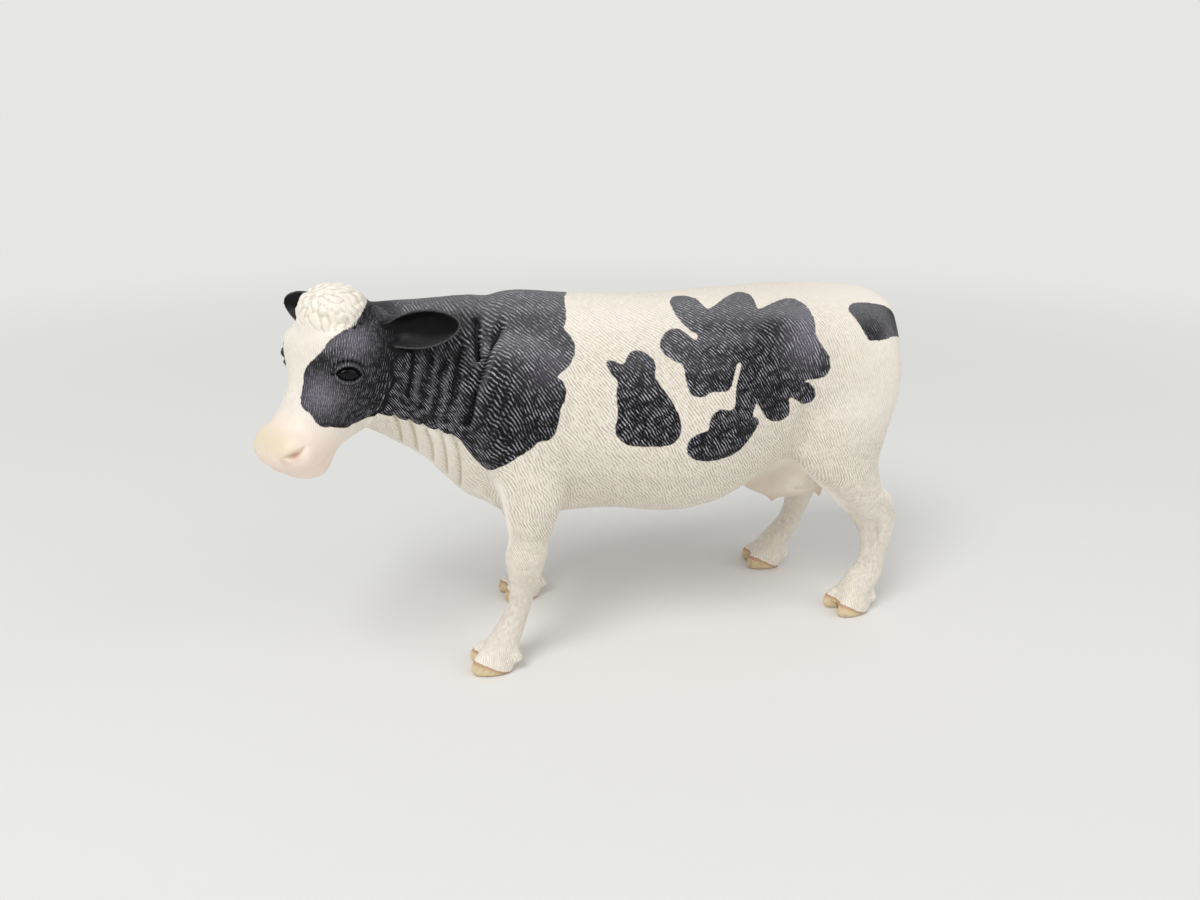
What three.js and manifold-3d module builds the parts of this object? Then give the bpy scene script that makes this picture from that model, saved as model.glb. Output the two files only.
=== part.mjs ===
// A toy farm animal: a standing black and white dairy cow, cast in solid soft vinyl in ten
// pieces that plug into each other and are glued before painting.
// Millimetres. X runs from the muzzle to the tail, -Y is the cow's left side, +Z is up,
// and the soles of the four hooves stand on Z = 0.
import * as THREE from "three";
import { mergeVertices } from "three/addons/utils/BufferGeometryUtils.js";
import Module from "manifold-3d";

const wasm = await Module();
wasm.setup();

// Overall sizes
const backHeight = 71; // ground to the back
const trunkLength = 91; // breast to rump
const trunkDepth = 46; // back to the lowest point of the belly
const trunkWidth = 43; // widest part of the belly
const legSpreadFront = 27.6; // between the middles of the front hooves
const legSpreadRear = 26; // between the middles of the rear hooves
const strideFront = 5.5; // each front hoof ahead of or behind its middle place
const strideRear = 4.3;
const forelegThickness = 13; // fore and aft, under the elbow
const hindLegThickness = 26; // fore and aft, through the thigh
const toesOutFront = -6; // degrees that each front hoof turns outwards, below zero inwards
const toesOutRear = 9;
const neckLength = 20; // breast to the poll, along X
const neckThickness = 17; // across the neck behind the ears
const headLength = 29.5; // poll to lips
const headWidth = 18; // across the brows
const headDepth = 18; // forehead to jaw angle
const headTurn = 33; // degrees, to the cow's left
const headDip = 64; // degrees, the face below the horizontal
const earLength = 15;
const earWidth = 7.2;
const earThickness = 1.6;
const tuftSize = 13.5; // across the curly topknot
const eyeDiameter = 3.6;
const nostrilLength = 3;
const hoofLength = 8.8;
const hoofWidth = 8.4;
const hoofHeight = 3.6;
const clawGap = 0.9; // cleft between the two claws of a hoof
const dewclawLength = 4.6;
const dewclawThickness = 2.6;
const udderLength = 24;
const udderWidth = 19;
const teatLength = 1.9;
const teatThickness = 1.7;
const tailLength = 46; // hanging part
const tailThickness = 3.2;

// How the pieces join
const glueGap = 0.3; // left round each joint for glue
const tenonDiameter = 6.4; // round peg on top of each leg
const tenonLength = 7;
const neckTenonDiameter = 8;
const neckTenonLength = 6;
const overrun = 40; // how far a cutting block runs past what it cuts
const tenonSinkShare = 0.25; // part of a peg that is buried in the piece it belongs to

const coat = { white: "#f1ebdc", black: "#23232b", skin: "#e3cdb8" };
const coatRoughness = 0.6;

// A closed solid skinned over rings of points, which all have the same number of points.
function skin(rings) {
  const count = rings[0].length;
  const positions = [];
  const faces = [];
  for (const ring of rings) for (const p of ring) positions.push(p.x, p.y, p.z);
  for (let r = 0; r + 1 < rings.length; r++) {
    for (let i = 0; i < count; i++) {
      const a = r * count + i;
      const b = r * count + ((i + 1) % count);
      faces.push(a, b, b + count, a, b + count, a + count);
    }
  }
  for (const [ring, atStart] of [[rings[0], true], [rings[rings.length - 1], false]]) {
    const middle = new THREE.Vector3();
    for (const p of ring) middle.addScaledVector(p, 1 / count);
    const hub = positions.length / 3;
    positions.push(middle.x, middle.y, middle.z);
    const first = atStart ? 0 : (rings.length - 1) * count;
    for (let i = 0; i < count; i++) {
      const a = first + i;
      const b = first + ((i + 1) % count);
      faces.push(hub, ...(atStart ? [b, a] : [a, b]));
    }
  }
  const geometry = new THREE.BufferGeometry();
  geometry.setAttribute("position", new THREE.Float32BufferAttribute(positions, 3));
  geometry.setIndex(faces);
  const made = solidOf(geometry);
  if (made.volume() > 0) return made;
  geometry.setIndex(faces.reverse()); // the rings ran the other way round
  return solidOf(geometry);
}

function solidOf(geometry) {
  geometry.deleteAttribute("normal");
  geometry.deleteAttribute("uv");
  const merged = mergeVertices(geometry);
  return new wasm.Manifold(new wasm.Mesh({
    numProp: 3,
    vertProperties: merged.attributes.position.array,
    triVerts: new Uint32Array(merged.index.array),
  }));
}

// Rows of shares are filled in with rows between them, on a smooth curve through the given ones.
function smoothRows(rows, between) {
  const filled = [];
  const steps = (rows.length - 1) * (between + 1);
  for (let s = 0; s <= steps; s++) {
    const at = s / (between + 1);
    const i = Math.min(Math.floor(at), rows.length - 2);
    const t = at - i;
    const [p, q] = [rows[i], rows[i + 1]];
    const before = rows[Math.max(i - 1, 0)];
    const after = rows[Math.min(i + 2, rows.length - 1)];
    filled.push(p.map((_, k) => {
      const slopeP = (q[k] - before[k]) / 2;
      const slopeQ = (after[k] - p[k]) / 2;
      return (2 * t ** 3 - 3 * t ** 2 + 1) * p[k] + (t ** 3 - 2 * t ** 2 + t) * slopeP
        + (3 * t ** 2 - 2 * t ** 3) * q[k] + (t ** 3 - t ** 2) * slopeQ;
    }));
  }
  return filled;
}

// A left and right ring through half widths given at heights from the top down.
// Each point is (across, up), anticlockwise from the top.
function hullOutline(top, bottom, heightShares, halfWidths, count) {
  const half = heightShares.map((h, i) => new THREE.Vector3(halfWidths[i], top + (bottom - top) * h, 0));
  const mirrored = half.map((p) => new THREE.Vector3(-p.x, p.y, 0));
  const crest = new THREE.Vector3(0, top, 0);
  const keel = new THREE.Vector3(0, bottom, 0);
  const loop = [crest, ...mirrored, keel, ...half.reverse()];
  const curve = new THREE.CatmullRomCurve3(loop, true, "centripetal");
  return Array.from({ length: count }, (_, i) => curve.getPoint(i / count));
}

function oval(halfLength, halfWidth, count) {
  return Array.from({ length: count }, (_, i) => {
    const a = (2 * Math.PI * i) / count;
    return new THREE.Vector3(halfLength * Math.cos(a), halfWidth * Math.sin(a), 0);
  });
}

const ballRows = 10;
const ballAround = 16;

function ball(radii, place) {
  const geometry = new THREE.SphereGeometry(1, ballAround, ballRows);
  geometry.scale(...radii);
  geometry.translate(...place);
  return solidOf(geometry);
}

function block(low, high) {
  const geometry = new THREE.BoxGeometry(high[0] - low[0], high[1] - low[1], high[2] - low[2]);
  geometry.translate((low[0] + high[0]) / 2, (low[1] + high[1]) / 2, (low[2] + high[2]) / 2);
  return solidOf(geometry);
}

// A round peg standing on foot and pointing along way.
const pegTaperShare = 0.9; // tip of a peg against its foot
const pegSides = 14;
const smallPegSides = 8;

function peg(foot, way, radius, length, sides = pegSides) {
  const geometry = new THREE.CylinderGeometry(radius * pegTaperShare, radius, length, sides);
  geometry.translate(0, length / 2, 0);
  const up = new THREE.Vector3(0, 1, 0);
  geometry.applyQuaternion(new THREE.Quaternion().setFromUnitVectors(up, way.clone().normalize()));
  geometry.translate(foot.x, foot.y, foot.z);
  return solidOf(geometry);
}

// Trunk. Rows from the breast to the rump: place along the trunk, then the top and the bottom
// as shares of its depth below the back, then half widths as shares of half the trunk's width.
const trunkHeightShares = [0.035, 0.15, 0.36, 0.62, 0.87];
const trunkShares = [
  [0.0, 0.1, 0.82, 0.19, 0.32, 0.44, 0.42, 0.28],
  [0.055, -0.015, 0.93, 0.21, 0.4, 0.64, 0.68, 0.46],
  [0.12, -0.04, 0.97, 0.24, 0.46, 0.76, 0.83, 0.56],
  [0.21, -0.02, 0.95, 0.25, 0.49, 0.79, 0.87, 0.6],
  [0.32, -0.005, 0.96, 0.29, 0.54, 0.84, 0.95, 0.66],
  [0.43, 0.005, 1.0, 0.33, 0.61, 0.9, 1.0, 0.7],
  [0.54, 0.0, 0.99, 0.38, 0.67, 0.89, 0.97, 0.66],
  [0.65, 0.0, 0.89, 0.44, 0.71, 0.82, 0.85, 0.58],
  [0.74, 0.0, 0.8, 0.5, 0.76, 0.79, 0.76, 0.5],
  [0.83, 0.003, 0.75, 0.42, 0.68, 0.8, 0.76, 0.48],
  [0.92, 0.013, 0.71, 0.29, 0.52, 0.7, 0.7, 0.45],
  [0.97, 0.052, 0.65, 0.22, 0.4, 0.55, 0.54, 0.34],
  [1.0, 0.16, 0.54, 0.14, 0.24, 0.31, 0.29, 0.19],
];
const trunkAround = 28;
const breastShare = 0.3; // how much of the trunk lies ahead of X = 0
const breastX = -breastShare * trunkLength;

// Muscle and bone under the hide, the same on both sides. Rows: place along the trunk, drop
// below the back and sideways place, then the three radii, all as shares of the trunk's length,
// depth and half width; the last number leans the form forward at its top, in degrees.
const mouldShares = [
  [0.115, 0.48, 0.43, 0.125, 0.38, 0.35, 10], // shoulder and upper arm
  [0.86, 0.46, 0.52, 0.12, 0.38, 0.26, -8], // thigh
  [0.68, 0.15, 0.56, 0.085, 0.1, 0.185, -14], // hip bone
  [0.935, 0.15, 0.28, 0.05, 0.11, 0.17, 0], // pin bone
];

function moulds() {
  const forms = [];
  for (const [along, drop, aside, long, high, wide, lean] of mouldShares) {
    for (const side of [-1, 1]) {
      const radii = [long * trunkLength, (wide * trunkWidth) / 2, high * trunkDepth];
      forms.push(ball(radii, [0, 0, 0])
        .rotate([0, -lean, 0])
        .translate([
          breastX + along * trunkLength,
          (side * aside * trunkWidth) / 2,
          backHeight - drop * trunkDepth,
        ]));
    }
  }
  return wasm.Manifold.union(forms);
}

function trunkSolid() {
  const rings = smoothRows(trunkShares, 1).map(([along, top, bottom, ...widths]) => {
    const outline = hullOutline(
      backHeight - top * trunkDepth,
      backHeight - bottom * trunkDepth,
      trunkHeightShares,
      widths.map((w) => (w * trunkWidth) / 2),
      trunkAround,
    );
    return outline.map((p) => new THREE.Vector3(breastX + along * trunkLength, p.x, p.y));
  });
  return skin(rings);
}

// Neck. Rows from inside the chest to inside the skull: place along the neck, sideways swing
// towards the side that the head turns to, then the top and the bottom as shares of the trunk's
// depth below the back, then half widths as shares of half the neck's thickness.
const neckHeightShares = [0.05, 0.2, 0.5, 0.8, 0.95];
const neckShares = [
  [-0.55, 0.0, 0.0, 0.88, 0.5, 0.9, 1.45, 1.3, 0.6],
  [-0.1, 0.0, -0.03, 0.88, 0.48, 0.88, 1.36, 1.18, 0.52],
  [0.15, 0.02, -0.03, 0.8, 0.45, 0.84, 1.25, 1.0, 0.45],
  [0.42, 0.08, -0.028, 0.655, 0.44, 0.82, 1.13, 0.88, 0.42],
  [0.7, 0.2, -0.028, 0.56, 0.44, 0.82, 1.07, 0.86, 0.42],
  [0.95, 0.38, -0.025, 0.475, 0.44, 0.8, 1.02, 0.84, 0.42],
  [1.15, 0.55, 0.0, 0.43, 0.38, 0.7, 0.9, 0.72, 0.36],
];
const neckAround = 22;

function neckSolid() {
  const rings = smoothRows(neckShares, 1).map(([along, swing, top, bottom, ...widths]) => {
    const outline = hullOutline(
      backHeight - top * trunkDepth,
      backHeight - bottom * trunkDepth,
      neckHeightShares,
      widths.map((w) => (w * neckThickness) / 2),
      neckAround,
    );
    const x = breastX - along * neckLength;
    const y = (-swing * neckThickness) / 2;
    return outline.map((p) => new THREE.Vector3(x, y + p.x, p.y));
  });
  return skin(rings);
}

// Head. It is built round the poll, looking along -X with its face sloping down, then turned.
// Rows from the poll to the lips: place along the face, then the forehead and the jaw as shares
// of the head's depth, then half widths as shares of half its width.
const headHeightShares = [0.06, 0.24, 0.5, 0.78, 0.94];
const headShares = [
  [-0.06, 0.0, -0.5, 0.3, 0.5, 0.6, 0.5, 0.25],
  [0.06, 0.16, -0.72, 0.56, 0.84, 0.94, 0.84, 0.55],
  [0.16, 0.23, -0.82, 0.7, 0.96, 1.0, 0.86, 0.58],
  [0.26, 0.24, -0.86, 0.72, 0.98, 1.0, 0.84, 0.56],
  [0.37, 0.205, -0.84, 0.56, 0.84, 0.96, 0.82, 0.55],
  [0.47, 0.19, -0.8, 0.44, 0.7, 0.86, 0.77, 0.52],
  [0.57, 0.195, -0.69, 0.4, 0.6, 0.74, 0.68, 0.48],
  [0.66, 0.205, -0.55, 0.42, 0.59, 0.67, 0.62, 0.46],
  [0.73, 0.235, -0.42, 0.5, 0.66, 0.7, 0.63, 0.47],
  [0.81, 0.29, -0.34, 0.58, 0.75, 0.79, 0.71, 0.5],
  [0.89, 0.29, -0.34, 0.6, 0.78, 0.8, 0.7, 0.48],
  [0.955, 0.23, -0.31, 0.5, 0.66, 0.68, 0.58, 0.38],
  [1.0, 0.11, -0.21, 0.24, 0.36, 0.38, 0.3, 0.18],
];
const headAround = 22;
const pollAheadShare = 1.15; // of the neck's length
const pollAsideShare = 0.29; // of the neck's thickness
const poll = new THREE.Vector3(
  breastX - pollAheadShare * neckLength,
  -pollAsideShare * neckThickness,
  backHeight,
);
const headPose = new THREE.Matrix4()
  .makeTranslation(poll.x, poll.y, poll.z)
  .multiply(new THREE.Matrix4().makeRotationZ(THREE.MathUtils.degToRad(headTurn)));

// A place on the head: along the face from the poll, out from the face, and to the cow's left.
function onHead(along, out, left) {
  const dip = THREE.MathUtils.degToRad(headDip);
  const forward = along * Math.cos(dip) + out * Math.sin(dip);
  const up = out * Math.cos(dip) - along * Math.sin(dip);
  return new THREE.Vector3(-forward, -left, up).applyMatrix4(headPose);
}

function skullSolid() {
  const rings = smoothRows(headShares, 1).map(([along, face, jaw, ...widths]) => {
    const outline = hullOutline(
      face * headDepth,
      jaw * headDepth,
      headHeightShares,
      widths.map((w) => (w * headWidth) / 2),
      headAround,
    );
    return outline.map((p) => onHead(along * headLength, p.y, p.x));
  });
  return skin(rings);
}

// The curly topknot between the ears. Rows: back and lift from the poll, then half length, half
// width and half height, all as shares of its size.
const tuftShares = [
  [0.02, 0.05, 0.46, 0.5, 0.34], // crown of the curls
  [-0.08, -0.12, 0.4, 0.46, 0.36], // curls that hang over the forehead
];

function tuftSolid() {
  const knobs = tuftShares.map((row) => {
    const [back, lift, ...radii] = row.map((s) => s * tuftSize);
    return ball(radii, [back, 0, lift]);
  });
  return wasm.Manifold.union(knobs)
    .rotate([0, 0, headTurn])
    .translate([poll.x, poll.y, poll.z]);
}

// Brow, eye and nostril on both sides. Places are along, out and left as shares of the head's
// length, depth and half width; radii are shares of the same lengths or of the feature's own.
const browPlaceShare = [0.26, 0.04, 0.63];
const eyePlaceShare = [0.335, -0.06, 0.88];
const nostrilPlaceShare = [0.835, 0.2, 0.72];
const browRadiiShares = [0.12, 0.13, 0.17];
const nostrilRadiiShares = [0.2, 0.5, 0.3];

function headBall([along, out, left], radii, side) {
  const place = onHead(along * headLength, out * headDepth, (side * left * headWidth) / 2);
  return ball(radii, [0, 0, 0])
    .rotate([0, headDip - 90, 0])
    .rotate([0, 0, headTurn])
    .translate([place.x, place.y, place.z]);
}

function faceFeatures() {
  const [along, out, wide] = browRadiiShares;
  const brow = [out * headDepth, wide * headWidth, along * headLength];
  const raised = [];
  const sunk = [];
  for (const side of [-1, 1]) {
    const eye = eyeDiameter / 2;
    raised.push(headBall(browPlaceShare, brow, side));
    raised.push(headBall(eyePlaceShare, [eye, eye, eye], side));
    sunk.push(headBall(
      nostrilPlaceShare,
      nostrilRadiiShares.map((s) => s * nostrilLength),
      side,
    ));
  }
  return [wasm.Manifold.union(raised), wasm.Manifold.union(sunk)];
}

// Ears. Rows from the root in the skull to the tip: place along the ear, then half width, cup
// depth and thickness as shares of the ear's own.
const earShares = [
  [-0.35, 0.42, 0.2, 1.5],
  [0.0, 0.5, 0.28, 1.3],
  [0.18, 0.8, 0.4, 1.0],
  [0.42, 1.0, 0.43, 0.9],
  [0.68, 0.92, 0.35, 0.8],
  [0.88, 0.6, 0.2, 0.7],
  [1.0, 0.24, 0.06, 0.5],
];
const earArcSteps = 7;
const earInsideShare = 0.84; // width of the hollow against the width of the ear
const earRimShare = 0.3; // thickness of the rim against the middle of the ear

function earSolid({ root, way, opening }, grow = 0) {
  const along = way.clone().normalize();
  const across = new THREE.Vector3().crossVectors(opening, along).normalize();
  const out = new THREE.Vector3().crossVectors(along, across).normalize();
  const rings = smoothRows(earShares, 1).map(([at, width, cup, thick], i, all) => {
    const half = (width * earWidth) / 2;
    const depth = cup * earWidth;
    const ends = i === 0 ? -grow : i === all.length - 1 ? grow : 0;
    const middle = root.clone().addScaledVector(along, at * earLength + ends);
    const place = (turn, reach, side) => {
      const swell = earRimShare + (1 - earRimShare) * Math.sin(turn);
      const lift = side * ((swell * thick * earThickness) / 2 + grow);
      return middle.clone()
        .addScaledVector(across, reach * Math.cos(turn))
        .addScaledVector(out, lift - depth * Math.sin(turn));
    };
    const arc = (reach, side) => Array.from(
      { length: earArcSteps + 1 },
      (_, s) => place((Math.PI * s) / earArcSteps, reach, side),
    );
    const back = arc(half + grow, -1);
    const hollow = arc(half * earInsideShare - grow, 1).reverse();
    return [...back, place(Math.PI, half + grow, 1), ...hollow, place(0, half + grow, 1)];
  });
  return skin(rings);
}

// Legs. Rows from the root inside the trunk to the fetlock and the hoof: height as a share of
// the leg's root height, fore and aft place, half length and half width as shares of the leg's
// thickness, sideways place from the trunk's middle (0) to the hoof's (1), and how much of the
// stride the row takes.
const foreleg = {
  thickness: forelegThickness,
  spread: legSpreadFront,
  toesOut: toesOutFront,
  rootDropShare: 0.43, // of the trunk's depth
  seamShare: 0.71, // height of the seam against the root's
  placeShare: 0.113, // along the trunk
  shares: [
    [1.0, 0.02, 0.36, 0.3, 0.58, 0],
    [0.9, 0.02, 0.5, 0.42, 0.76, 0],
    [0.76, 0.01, 0.52, 0.45, 0.9, 0.02],
    [0.66, 0.0, 0.44, 0.4, 0.97, 0.08],
    [0.58, 0.0, 0.36, 0.35, 1.0, 0.15],
    [0.52, 0.0, 0.31, 0.31, 1.0, 0.22],
    [0.46, -0.01, 0.31, 0.32, 1.0, 0.3],
    [0.37, 0.0, 0.235, 0.25, 1.0, 0.42],
    [0.27, 0.0, 0.185, 0.2, 1.0, 0.58],
    [0.19, -0.05, 0.2, 0.21, 1.0, 0.74],
    [0.13, -0.13, 0.25, 0.27, 1.0, 0.86],
    [0.08, -0.21, 0.27, 0.29, 1.0, 0.95],
    [0.03, -0.28, 0.26, 0.28, 1.0, 1.0],
  ],
};
const hindLeg = {
  thickness: hindLegThickness,
  spread: legSpreadRear,
  toesOut: toesOutRear,
  rootDropShare: 0.24,
  seamShare: 0.62,
  placeShare: 0.83,
  shares: [
    [1.0, 0.02, 0.32, 0.2, 0.6, 0],
    [0.88, 0.0, 0.45, 0.29, 0.72, 0],
    [0.75, -0.03, 0.5, 0.26, 0.86, 0],
    [0.66, -0.04, 0.45, 0.22, 0.93, 0.03],
    [0.58, 0.0, 0.34, 0.195, 0.97, 0.12],
    [0.5, 0.1, 0.27, 0.17, 1.0, 0.24],
    [0.43, 0.22, 0.255, 0.155, 1.0, 0.35],
    [0.38, 0.29, 0.22, 0.15, 1.0, 0.42],
    [0.33, 0.325, 0.17, 0.135, 1.0, 0.5],
    [0.26, 0.32, 0.125, 0.11, 1.0, 0.62],
    [0.19, 0.28, 0.115, 0.1, 1.0, 0.76],
    [0.14, 0.22, 0.145, 0.125, 1.0, 0.85],
    [0.09, 0.13, 0.15, 0.14, 1.0, 0.93],
    [0.035, 0.06, 0.14, 0.145, 1.0, 1.0],
  ],
};
const legAround = 14;

// side is -1 on the cow's left and 1 on its right. A leg grown by the glue gap is what its
// neighbours are cut with.
function legPoint(leg, stride, side, [height, ahead, , , out, swing]) {
  return new THREE.Vector3(
    breastX + leg.placeShare * trunkLength + ahead * leg.thickness + swing * stride,
    (side * out * leg.spread) / 2,
    height * rootHeight(leg),
  );
}

function rootHeight(leg) {
  return backHeight - leg.rootDropShare * trunkDepth;
}

function legSolid(leg, stride, side, grow = 0) {
  const rings = leg.shares.map((row, i) => {
    const middle = legPoint(leg, stride, side, row);
    if (i === 0) middle.z += grow;
    const [, , length, width] = row;
    return oval(length * leg.thickness + grow, width * leg.thickness + grow, legAround)
      .map((p) => p.add(middle));
  });
  return skin(rings).add(hoofSolid(leg, stride, side, grow));
}

// Two claws side by side, with a dewclaw behind each. Rows from the pastern to the sole: height
// as a share of the hoof's, place behind its middle, half length and half width as shares of
// its own, and how far apart the claws stand.
const clawShares = [
  [1.25, 0.1, 0.4, 0.2, 0.8],
  [0.75, 0.02, 0.47, 0.235, 1.0],
  [0.3, 0.0, 0.5, 0.245, 1.0],
  [0.0, 0.01, 0.47, 0.225, 1.0],
];
const clawAround = 12;
const hoofAheadShare = 0.06; // middle of the hoof ahead of the leg's last row
const dewclawPlaceShare = [0.42, 0.2, 1.75]; // behind, aside and up
const dewclawWay = new THREE.Vector3(0.42, 0.2, -1);

function hoofSolid(leg, stride, side, grow) {
  const middle = legPoint(leg, stride, side, leg.shares[leg.shares.length - 1]);
  const [behind, aside, up] = dewclawPlaceShare;
  const parts = [];
  for (const half of [-1, 1]) {
    const rings = clawShares.map(([rise, back, length, width, apart]) => {
      const place = new THREE.Vector3(
        back * hoofLength,
        half * apart * (width * hoofWidth + clawGap / 2),
        rise * hoofHeight,
      );
      return oval(length * hoofLength + grow, width * hoofWidth + grow, clawAround)
        .map((p) => p.add(place));
    });
    const heel = new THREE.Vector3(
      behind * hoofLength,
      half * aside * hoofWidth,
      up * hoofHeight,
    );
    const way = new THREE.Vector3(dewclawWay.x, half * dewclawWay.y, dewclawWay.z);
    const radius = dewclawThickness / 2 + grow;
    parts.push(skin(rings), peg(heel, way, radius, dewclawLength + grow, smallPegSides));
  }
  return wasm.Manifold.union(parts)
    .rotate([0, 0, -side * leg.toesOut])
    .translate([middle.x - hoofAheadShare * hoofLength, middle.y, 0]);
}

// The leg parted at its seam: the upper stub stays on the trunk, the lower part has the peg.
function partedLeg(leg, stride, side) {
  const seam = leg.seamShare * rootHeight(leg);
  const far = trunkLength + overrun;
  const above = block([-far, -far, seam + glueGap], [far, far, backHeight + overrun]);
  const below = (lift) => block([-far, -far, -overrun], [far, far, seam + lift]);
  const row = leg.shares.find(([height]) => height <= leg.seamShare);
  const foot = legPoint(leg, stride, side, row);
  foot.z = seam - tenonSinkShare * tenonLength;
  const up = new THREE.Vector3(0, 0, 1);
  const reach = (1 + tenonSinkShare) * tenonLength;
  const tenon = peg(foot, up, tenonDiameter / 2, reach);
  const socket = peg(foot, up, tenonDiameter / 2 + glueGap, reach + glueGap);
  const whole = legSolid(leg, stride, side);
  return {
    stub: whole.intersect(above),
    lower: whole.intersect(below(0)).add(tenon),
    room: legSolid(leg, stride, side, glueGap).intersect(below(glueGap)).add(socket),
  };
}

// Udder. Rows from its root in the belly down: drop as a share of its length, half length and
// half width as shares of its own.
const udderShares = [
  [-0.48, 0.3, 0.3],
  [-0.1, 0.44, 0.42],
  [0.16, 0.5, 0.5],
  [0.3, 0.44, 0.46],
  [0.385, 0.28, 0.3],
];
const udderAround = 18;
const udderDropShare = 0.79; // of the trunk's depth
const udderPlaceShare = 0.768; // along the trunk
const udderTop = backHeight - udderDropShare * trunkDepth;
const udderX = breastX + udderPlaceShare * trunkLength;
const teatDropShare = 0.31; // foot of a teat inside the udder
const teatSinkShare = 0.06;
const teatPlaceShares = [[-0.18, -0.2], [-0.18, 0.2], [0.29, -0.22], [0.29, 0.22]];

function udderSolid(grow = 0) {
  const rings = smoothRows(udderShares, 1).map(([drop, length, width], i) => oval(
    length * udderLength + grow,
    width * udderWidth + grow,
    udderAround,
  ).map((p) => p.add(new THREE.Vector3(
    udderX,
    0,
    udderTop - drop * udderLength + (i === 0 ? grow : 0),
  ))));
  const teats = teatPlaceShares.map(([x, y]) => peg(
    new THREE.Vector3(
      udderX + x * udderLength,
      y * udderWidth,
      udderTop - teatDropShare * udderLength,
    ),
    new THREE.Vector3(0, 0, -1),
    teatThickness / 2 + grow,
    teatLength + teatSinkShare * udderLength + grow,
    smallPegSides,
  ));
  return skin(rings).add(wasm.Manifold.union(teats));
}

// Tail. Rows from its root in the rump to the end of the switch: place behind the rump and
// sideways, as shares of its thickness, drop as a share of its length, and thickness.
const tailShares = [
  [-2.6, 0.0, -0.02, 0.9],
  [-1.2, 0.0, -0.032, 1.0],
  [-0.1, 0.05, 0.0, 0.95],
  [0.35, 0.1, 0.08, 0.85],
  [0.3, 0.2, 0.25, 0.75],
  [0.1, 0.35, 0.45, 0.7],
  [0.05, 0.5, 0.62, 0.75],
  [0.1, 0.6, 0.75, 1.15],
  [0.15, 0.65, 0.88, 1.2],
  [0.1, 0.65, 1.0, 0.5],
];
const tailAround = 10;
const rumpX = breastX + trunkLength;
const tailDropShare = 0.1; // of the trunk's depth
const tailRootHeight = backHeight - tailDropShare * trunkDepth;

function tailSolid(grow = 0) {
  const rows = smoothRows(tailShares, 1);
  const spine = rows.map(([back, right, drop]) => new THREE.Vector3(
    rumpX + back * tailThickness,
    right * tailThickness,
    tailRootHeight - drop * tailLength,
  ));
  const rings = spine.map((middle, i) => {
    const ahead = spine[Math.min(i + 1, spine.length - 1)].clone()
      .sub(spine[Math.max(i - 1, 0)]).normalize();
    const right = new THREE.Vector3(0, 1, 0);
    const out = new THREE.Vector3().crossVectors(ahead, right).normalize();
    const radius = (rows[i][3] * tailThickness) / 2 + grow;
    return oval(radius, radius, tailAround).map((p) => middle.clone()
      .addScaledVector(out, p.x)
      .addScaledVector(right, p.y));
  });
  return skin(rings);
}

// Head and trunk part in the folds of the neck, on an upright plane.
const neckSeamShare = 0.42; // along the neck
const neckTenonDropShare = 0.33; // of the trunk's depth
const neckSeamX = breastX - neckSeamShare * neckLength;
const inFront = block(
  [neckSeamX - trunkLength, -trunkLength, -overrun],
  [neckSeamX, trunkLength, backHeight + overrun],
);
const behind = block(
  [neckSeamX + glueGap, -trunkLength, -overrun],
  [neckSeamX + 2 * trunkLength, trunkLength, backHeight + overrun],
);
const neckTenonFoot = new THREE.Vector3(
  neckSeamX - tenonSinkShare * neckTenonLength,
  0,
  backHeight - neckTenonDropShare * trunkDepth,
);
const backwards = new THREE.Vector3(1, 0, 0);
const neckTenon = (grow) => peg(
  neckTenonFoot,
  backwards,
  neckTenonDiameter / 2 + grow,
  (1 + tenonSinkShare) * neckTenonLength + grow,
);

// The left ear is laid back along the neck; the right one stands out sideways. Each root is
// along, out and left as shares of the head's length, depth and half width.
function earRoot([along, out, left]) {
  return onHead(along * headLength, out * headDepth, (left * headWidth) / 2);
}
const leftEar = {
  root: earRoot([0.03, -0.34, 0.8]),
  way: new THREE.Vector3(0.84, -0.5, 0.17),
  opening: new THREE.Vector3(-0.35, -0.9, 0.25),
};
const rightEar = {
  root: earRoot([0.03, -0.3, -0.8]),
  way: new THREE.Vector3(-0.62, 0.77, 0.17),
  opening: new THREE.Vector3(-0.8, -0.55, 0.2),
};

const legs = {
  foreleg_left: partedLeg(foreleg, -strideFront, -1),
  foreleg_right: partedLeg(foreleg, strideFront, 1),
  hind_leg_left: partedLeg(hindLeg, strideRear, -1),
  hind_leg_right: partedLeg(hindLeg, -strideRear, 1),
};
const neck = neckSolid();
const tailRoom = tailSolid(glueGap);
const legRooms = Object.values(legs).map((leg) => leg.room);

const trunk = trunkSolid()
  .add(moulds())
  .add(neck.intersect(behind))
  .add(wasm.Manifold.union(Object.values(legs).map((leg) => leg.stub)))
  .subtract(wasm.Manifold.union(legRooms))
  .subtract(udderSolid(glueGap))
  .subtract(tailRoom)
  .subtract(neckTenon(glueGap));

const [raised, sunk] = faceFeatures();
const head = skullSolid()
  .add(neck.intersect(inFront))
  .add(tuftSolid())
  .add(raised)
  .subtract(sunk)
  .intersect(inFront)
  .add(neckTenon(0))
  .subtract(earSolid(leftEar, glueGap))
  .subtract(earSolid(rightEar, glueGap));

const pieces = {
  trunk: [trunk, coat.white],
  head: [head, coat.white],
  ear_left: [earSolid(leftEar), coat.black],
  ear_right: [earSolid(rightEar), coat.black],
  udder: [udderSolid().subtract(wasm.Manifold.union(legRooms)), coat.skin],
  tail: [tailSolid(), coat.white],
};
for (const [name, leg] of Object.entries(legs)) {
  pieces[name] = [leg.lower.subtract(tailRoom), coat.white];
}

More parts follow.
